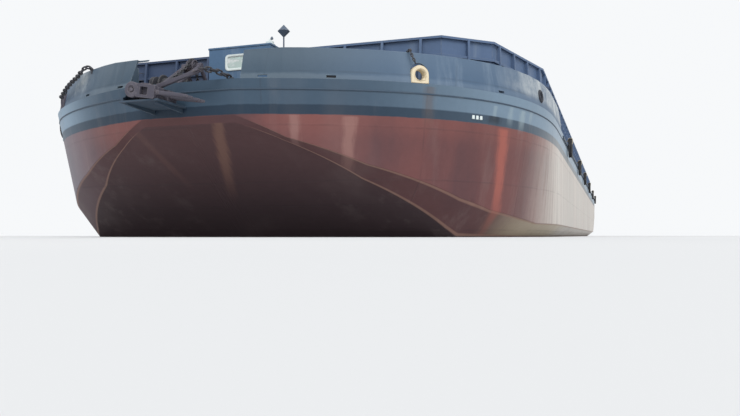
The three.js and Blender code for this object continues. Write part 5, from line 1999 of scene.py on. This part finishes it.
@dataclass
class Fenders(SubAssembly):
    """Hung tyres with tread, and the lashings that hold them."""

    looks = ((RUBBER, "fender_tyre_shoulder " + " ".join(f"fender_tyre_*_{n}" for n in range(1, 7))),)
    outer: float = 0.56
    inner: float = 0.3
    half_width: float = 0.1
    lugs: int = 40
    sides: int = 160
    places: tuple[float, ...] = (22, 35, 46, 59, 73, 86)
    height: float = DEPTH - 0.3
    across: float = HALF_BEAM + 0.178
    shoulder_half: float = 10.79
    shoulder_height: float = DEPTH - 0.15
    shoulder_proud: float = 0.115

    def tyre(self) -> Form:
        """Tyre about the local first axis: a closed profile turned round, its tread cut by grooves.

        The radius is that of the profile less a groove depth, which is met where the angle times the
        number of lugs is past the edge of a lug. The two rows of lugs are half a step apart.

        Returns:
            The closed tyre.
        """
        w, o, i = self.half_width, self.outer, self.inner
        profile = np.array([
            (i, -0.5), (i + 0.02, -0.72), (i + 0.08, -0.94), (i + 0.14, -1), (o - 0.06, -1),
            (o - 0.025, -0.93), (o, -0.8), (o, -0.2), (o - 0.015, -0.12),
            (o - 0.015, 0.12), (o, 0.2), (o, 0.8), (o - 0.025, 0.93), (o - 0.06, 1),
            (i + 0.14, 1), (i + 0.08, 0.94), (i + 0.02, 0.72), (i, 0.5), (i + 0.015, 0.3),
            (i + 0.06, 0.25), (i + 0.06, -0.25), (i + 0.015, -0.3),
        ]) * (1, w)
        angle = np.linspace(0, 2 * np.pi, self.sides, endpoint=False)[:, None]
        phase = (angle * self.lugs / (2 * np.pi) + np.where(profile[:, 1] > 0, 0.5, 0)) % 1
        tread = (profile[:, 0] > o - 0.03) & (np.abs(profile[:, 1]) > 0.15 * w)
        radius = profile[:, 0] - 0.022 * (phase > 0.7) * tread
        turned = np.broadcast_arrays(profile[:, 1], radius * np.cos(angle), radius * np.sin(angle))
        return lattice(np.stack(turned, axis=-1), ring=True)

    def ropes(self) -> Form:
        """Two turns of rope round the tyre's section, at an angle from the top on each side.

        Returns:
            The joined turns.
        """
        across, rise = rounded_outline(2 * self.half_width + 0.034, 0.33, 0.07, 4).T
        return merge(
            pipe(
                columns(across, (0.43 + rise) * math.sin(turn) + shift, (0.43 + rise) * math.cos(turn)),
                0.016, 6, (0, 1, 0.02), True,
            )
            for turn in (-0.4, 0.4) for shift in (-0.035, 0.035)
        )

    def hanger(self) -> Form:
        """Lashings round the tyre, with their tails up to an eye on the deck edge.

        Returns:
            The joined ropes.
        """
        parts = [self.ropes()]
        edge = HALF_BEAM - self.across
        for sign in (-1, 1):
            tail = [
                (-0.03, sign * 0.2, 0.5), (edge + 0.02, sign * 0.16, 0.42), (edge - 0.12, sign * 0.1, 0.335),
            ]
            parts.append(pipe(smooth_route(tail, 6), 0.018, 6, (0, 1, 0.02)))
        parts.append(pipe([(edge - 0.12, -0.16, 0.34), (edge - 0.12, 0.16, 0.34)], 0.03))
        return merge(parts)

    def build(self) -> None:
        """Makes every tyre and its ropes."""
        tyre, hanger = self.tyre(), self.hanger()
        for side in Side:
            for number, aft in enumerate(self.places, 1):
                name, place = f"{side.word}_{number}", (self.across, aft, self.height)
                one, ropes = (side.of(form.placed(place)) for form in (tyre, hanger))
                fit_piece(f"tyre_{name}", one, RUBBER, [f"fender_tyre_{name}"])
                fit_piece(f"tyre_ropes_{name}", ropes, ROPE, sharp=60)
        half = self.shoulder_half
        axes = np.array([(0, -1, 0), ACROSS, UP]) @ BOW.axes(half)
        origin = BOW.place(half, self.shoulder_height) - self.shoulder_proud * BOW.inward(half)
        one, ropes = (form.placed(origin, axes).mirrored() for form in (tyre, self.ropes()))
        fit_piece("tyre_shoulder", one, RUBBER, ["fender_tyre_shoulder"])
        fit_piece("tyre_ropes_shoulder", ropes, ROPE, sharp=60)


@dataclass
class CargoBox(SubAssembly):
    """Fittings of the cargo walls: lashing rings and climbing rungs."""

    looks = (
        (WALL, "box_front box_aft box_corner_* box_shoulder_*"),
        (WALL, "box_side_forward_* box_side_middle_* box_side_aft_*"), (BLACK, "day_mark"),
    )
    front: float = 6.1
    corner: float = 8.03
    half: float = 11.23
    aft: float = 87.4
    height: float = 2.44
    side_from: float = 14.9
    pitch: float = 3.2
    front_rings: int = 12
    front_rungs: float = -6.05
    side_rungs: tuple[float, float] = (15.3, 85.6)

    def ring(self) -> Form:
        """Lashing ring hanging from a plate, on local axes with the second pointing off the wall.

        Returns:
            The joined ring and plate.
        """
        across, rise = circle(20, 0.075)
        loop = pipe(columns(across, 0.03, rise - 0.06), 0.014, 6, (0, 1, 0.01), True)
        return merge([block((-0.06, -0.005, -0.08), (0.06, 0.02, 0.08), 0.005), loop])

    def rungs(self, count: int = 6) -> Form:
        """Climbing rungs one above another: bent bars that stand off the wall.

        Args:
            count: Number of rungs.

        Returns:
            The joined rungs.
        """
        half = [(0.17, 0.16, 0), (0.2, 0.13, 0), (0.2, 0, 0)]
        bar = [(-across, off, rise) for across, off, rise in reversed(half)] + half
        return pipe(bar, 0.014).copies(columns(0, 0, 0.3 + 0.33 * np.arange(count)))

    def build(self) -> None:
        """Makes the lashing rings of all walls and the rungs."""
        out, sideways = [ACROSS, (0, -1, 0), UP], [AFT, ACROSS, UP]
        level = FLOOR + self.height * 0.52
        halves = np.linspace(-self.corner + 0.4, self.corner - 0.4, self.front_rings)
        afts = np.arange(self.side_from, self.aft - 1, self.pitch)
        rings = merge([
            self.ring().copies(columns(halves, self.front, level), out),
            both(self.ring().copies(columns(self.half, afts, level), sideways)),
        ])
        fit_piece("lashing_rings", rings, GEAR, sharp=50)
        climb = self.rungs()
        rungs = merge([
            climb.placed((self.front_rungs, self.front, FLOOR), out),
            *(both(climb.placed((self.half, aft, FLOOR), sideways)) for aft in self.side_rungs),
        ])
        fit_piece("wall_rungs", rungs, STEEL, sharp=60)


@dataclass
class Deckhouse(SubAssembly):
    """Deckhouse fittings: roof, window frame and curtain, lamps, and the door's panels and handle."""

    looks = (
        (HOUSE_PAINT, "house_front house_back house_side_* house_door house_roof"),
        (WHITE, "window_frame"), (GLASS, "window_glass"),
    )
    starboard: float = -1.02
    port: float = 1.73
    front: float = 3.77
    back: float = 5.62
    top: float = FLOOR + 2.05
    window: tuple[float, float, float, float] = (-0.22, 1.29, 1.2, 1.75)
    sill: float = 0.25
    door_front: float = 4.3
    door_width: float = 0.72

    def roof(self) -> Form:
        """Flat roof plate with broken edges and a mushroom vent.

        Returns:
            The joined roof.
        """
        low = (self.starboard - 0.03, self.front - 0.03, self.top)
        vent = [
            (0.001, 0), (0.06, 0), (0.06, 0.1), (0.12, 0.1), (0.13, 0.12), (0.09, 0.17), (0.001, 0.185),
        ]
        return merge([
            block(low, (self.port + 0.03, self.back, self.top + 0.07), 0.015),
            spin(vent, 24, (0.1, 5.0, self.top + 0.065)),
        ])

    def window_frame(self) -> Form:
        """White frame: a ring of rounded section between the opening's edge and the wall's face.

        Returns:
            The closed frame.
        """
        left, right, low, high = self.window
        rings = []
        for margin, depth in (
            (0.048, 0.0), (0.05, 0.02), (0.04, 0.036), (0.0, 0.04), (-0.03, 0.032), (-0.05, 0.01),
            (-0.05, -0.05), (-0.004, -0.05), (-0.004, 0.0),
        ):
            wide, tall = right - left + 2 * margin, high - low + 2 * margin
            rings.append(columns(*rounded_outline(wide, tall, 0.12 + margin * 0.5, 6).T, depth))
        middle = ((left + right) / 2, self.front, DEPTH + (low + high) / 2)
        return lattice(np.stack(rings, axis=1), ring=True).placed(middle, FACING)

    def curtain(self) -> Form:
        """Pleated curtain behind the glass: depth and lower edge are sines along the width.

        Returns:
            The closed sheet.
        """
        left, right, low, high = self.window
        share = np.linspace(0, 1, 90)
        across = left + 0.1 + (right - left - 0.2) * share
        back = self.front + 0.12 + 0.02 * np.sin(share * 2 * np.pi * 14)
        foot = low + 0.2 + 0.07 * np.sin(share * 2 * np.pi * 1.2 + 0.8)
        rows = []
        for drop in (0.0, 0.5, 1.0):
            front = columns(across, back, DEPTH + high + 0.02 - (high + 0.02 - foot) * drop)
            rows.append(np.concatenate([front, front[::-1] + (0, 0.012, 0)]))
        return lattice(np.stack(rows))

    def lamp(self) -> Form:
        """White lamp box on the port edge of the roof.

        Returns:
            The joined box and lens.
        """
        x, y = self.port - 0.14, self.front + 0.25
        box = block((x - 0.14, y - 0.1, self.top + 0.06), (x + 0.14, y + 0.1, self.top + 0.2), 0.02)
        lens = [(0.001, 0), (0.05, 0), (0.055, 0.06), (0.03, 0.1), (0.001, 0.105)]
        return merge([box, spin(lens, 20, (x, y, self.top + 0.195))])

    def wires(self) -> Form:
        """Cable from the lamp down the port wall, and a dark lamp at the roof's edge.

        Returns:
            The joined cable and lamp.
        """
        x, y, wall = self.port, self.front, self.port + 0.025
        run = [
            (x - 0.14, y + 0.36, self.top + 0.16), (wall, y + 0.4, self.top + 0.05),
            (wall, y + 0.42, self.top - 0.4), (wall, y + 0.46, DEPTH + 0.4),
        ]
        lamp = [(0.001, 0), (0.05, 0.01), (0.06, 0.05), (0.03, 0.12), (0.001, 0.13)]
        return merge([
            pipe(smooth_route(run, 8), 0.012, 6, (0, 1, 0.01)),
            spin(lamp, 16, (x - 0.06, y + 0.25, self.top + 0.26)),
        ])

    def door_fittings(self) -> Form:
        """Pressed panels and a handle on the outside of the door.

        Returns:
            The joined fittings.
        """
        face, low, parts = self.starboard + 0.015, DEPTH + self.sill, []
        for start, end in ((0.15, 0.72), (0.9, 1.5)):
            aft, rise = rounded_outline(self.door_width - 0.26, end - start, 0.05, 3).T
            aft = aft + self.door_front + self.door_width / 2
            panel = columns(face - 0.002, aft, rise + low + (start + end) / 2)
            parts.append(pipe(panel, 0.012, 6, (1, 0.01, 0), True))
        y, off = self.door_front + 0.09, face - 0.05
        grip = [(face, y, low + 0.78), (off, y, low + 0.79), (off, y, low + 0.95), (face, y, low + 0.96)]
        return merge([*parts, pipe(grip, 0.011, 8, (0, 1, 0.01))])

    def build(self) -> None:
        """Makes the fittings; those on the door ride with it."""
        fit_piece("house_roof_plate", self.roof(), HOUSE_PAINT, ["house_roof"])
        fit_piece("window_surround", self.window_frame(), WHITE, ["window_frame"])
        fit_piece("window_curtain", self.curtain(), CLOTH, sharp=70)
        fit_piece("roof_lamp", self.lamp(), WHITE)
        fit_piece("lamp_wires", self.wires(), BLACK, sharp=60)
        fit_piece("door_fittings", self.door_fittings(), HOUSE_PAINT, body="door", sharp=60)


@dataclass
class DeckGear(SubAssembly):
    """Hatch coamings, lids with dogs and handles, manholes, vents and cleats."""

    looks = ((STEEL, "hatch_coaming_* hatch_lid_*"),)
    hatch: tuple[float, float] = (4.2, 3.6)
    hatch_half: float = 0.475
    hatch_height: float = 0.5
    lid: float = 0.07
    manholes: tuple[tuple[float, float], ...] = (
        (2.6, 4.7), (7.4, 4.9), (8.6, 5.2), (3.0, 88.9), (10.3, 89.6),
    )
    vents: tuple[tuple[float, float], ...] = ((5.3, 5.2), (1.1, 89.7), (5.6, 89.7))
    cleats: tuple[tuple[float, float], ...] = ((3.2, 2.2), (9.6, 89.9))

    def coaming(self) -> Form:
        """Coaming with a rolled edge at its foot: a frame between two rounded squares.

        Returns:
            The port coaming.
        """
        width = 2 * self.hatch_half
        outer, inner = (rounded_outline(side, side, 0.03, 3) for side in (width, width - 0.12))
        wide = rounded_outline(width + 0.1, width + 0.1, 0.05, 3)
        wall = collar(outer, inner, FLOOR, FLOOR + self.hatch_height)
        return merge([wall, collar(wide, inner, FLOOR, FLOOR + 0.02)]).placed((*self.hatch, 0))

    def hatch_lid(self) -> Form:
        """Lid plate with a raised panel, a handle and four dogs at its corners.

        Returns:
            The port lid.
        """
        width = 2 * (self.hatch_half + 0.03)
        low = FLOOR + self.hatch_height + GAP
        high = low + self.lid
        grip = [
            (-0.12, -0.34, high - 0.02), (-0.12, -0.34, high + 0.06), (0.12, -0.34, high + 0.06),
            (0.12, -0.34, high - 0.02),
        ]
        dog = spin([(0.001, 0), (0.03, 0), (0.03, 0.03), (0.012, 0.035), (0.012, 0.07), (0.001, 0.07)], 14)
        return merge([
            slab(rounded_outline(width, width, 0.05, 4), low, high - 0.01, 0.012),
            slab(rounded_outline(0.66, 0.66, 0.05, 4), high - 0.02, high, 0.008),
            pipe(grip, 0.012, 8, (0, 1, 0.01)),
            dog.copies([(x, y, high - 0.015) for y in (-0.42, 0.42) for x in (-0.42, 0.42)]),
        ]).placed((*self.hatch, 0))

    def fittings(self) -> Form:
        """Manholes, mushroom vents and cleats of the port half of the deck.

        Returns:
            The joined fittings.
        """
        cover = [(0.001, 0), (0.36, 0), (0.36, 0.025), (0.3, 0.03), (0.28, 0.05), (0.001, 0.055)]
        bolt = spin([(0.001, 0), (0.02, 0), (0.02, 0.045), (0.001, 0.048)], 6)
        manhole = merge([spin(cover, 32), bolt.copies(columns(*circle(16, 0.33), 0))])
        vent = spin([
            (0.001, 0), (0.12, 0), (0.12, 0.02), (0.08, 0.03), (0.08, 0.42), (0.17, 0.42), (0.18, 0.46),
            (0.12, 0.55), (0.001, 0.58),
        ], 28)
        horn = smooth_route([(-0.3, 0, 0.17), (-0.12, 0, 0.13), (0.12, 0, 0.13), (0.3, 0, 0.17)], 5)
        cleat = merge([pipe(horn, 0.035, 10), block((-0.1, -0.04, 0), (0.1, 0.04, 0.12), 0.01)])
        return merge(
            one.placed((*place, DEPTH))
            for one, places in ((manhole, self.manholes), (vent, self.vents), (cleat, self.cleats))
            for place in places
        )

    def build(self) -> None:
        """Makes the hatches, whose lids ride on their own bodies, and the fixed fittings."""
        for side in Side:
            word, wall, lid = side.word, side.of(self.coaming()), side.of(self.hatch_lid())
            fit_piece(f"coaming_{word}", wall, STEEL, [f"hatch_coaming_{word}"])
            fit_piece(f"lid_plate_{word}", lid, STEEL, [f"hatch_lid_{word}"], f"lid_{word}")
        fit_piece("deck_fittings", both(self.fittings()), STEEL)


@dataclass
class Studio:
    """Camera, light and floor of the picture."""

    camera_place: tuple[float, float, float] = (1.443, -6.6555, 0.006)
    camera_turn: float = 18.76
    lens: float = 34.7
    sensor: float = 36.0
    shift_up: float = 0.0373
    view_range: tuple[float, float] = (0.001, 500)
    sky: Colour = (0.93, 0.945, 0.96)
    sky_strength: float = 1.0
    sun_strength: float = 1.6
    sun_size: float = 40
    sun_turn: tuple[float, float, float] = (48, 8, 28)
    floor_half: float = 60.0

    def camera(self) -> None:
        """Sets the camera at the photograph's view."""
        scene = bpy.context.scene
        data = bpy.data.cameras.new("photo_view")
        data.lens = self.lens
        data.sensor_fit = "HORIZONTAL"
        data.sensor_width = self.sensor
        data.shift_y = self.shift_up
        data.clip_start, data.clip_end = self.view_range
        camera = bpy.data.objects.new("photo_view", data)
        camera.location = self.camera_place
        camera.rotation_euler = (math.pi / 2, 0, math.radians(self.camera_turn))
        scene.collection.objects.link(camera)
        scene.camera = camera
        scene.view_settings.view_transform = "Standard"

    def light(self) -> None:
        """Makes the pale sky and the soft sun."""
        scene = bpy.context.scene
        world = bpy.data.worlds.new("pale_sky")
        world.use_nodes = True
        graph = Graph(world.node_tree)
        sky = graph.out("ShaderNodeBackground", Color=self.sky, Strength=self.sky_strength)
        graph.add("ShaderNodeOutputWorld", Surface=sky)
        scene.world = world
        lamp = bpy.data.lights.new("soft_sun", "SUN")
        lamp.energy = self.sun_strength
        lamp.angle = math.radians(self.sun_size)
        sun = bpy.data.objects.new("soft_sun", lamp)
        sun.rotation_euler = [math.radians(turn) for turn in self.sun_turn]
        scene.collection.objects.link(sun)

    def floor(self) -> None:
        """Makes the floor, which belongs to the stage."""
        mesh = bpy.data.meshes.new("floor")
        half = self.floor_half
        corners = [(-half, -half, 0), (half, -half, 0), (half, half, 0), (-half, half, 0)]
        mesh.from_pydata(corners, [], [(0, 1, 2, 3)])
        piece = bpy.data.objects.new("floor", mesh)
        bpy.context.scene.collection.objects.link(piece)
        mesh.materials.append(FloorFinish().material())

    def build(self) -> None:
        """Makes the camera, the light and the floor."""
        self.camera()
        self.light()
        self.floor()


def main() -> None:
    """Builds the studio and the sub-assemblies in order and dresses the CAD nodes."""
    Studio().build()
    parts = [
        Hull(), Bulwark(), Mooring(), Anchor(), ChainFrame(), Windlass(), Fenders(), CargoBox(),
        Deckhouse(), DeckGear(),
    ]
    for part in parts:
        part.build()
    for part in parts:
        part.dress()


if __name__ == "__main__":
    logging.basicConfig(level=logging.INFO, format="%(message)s")
    main()
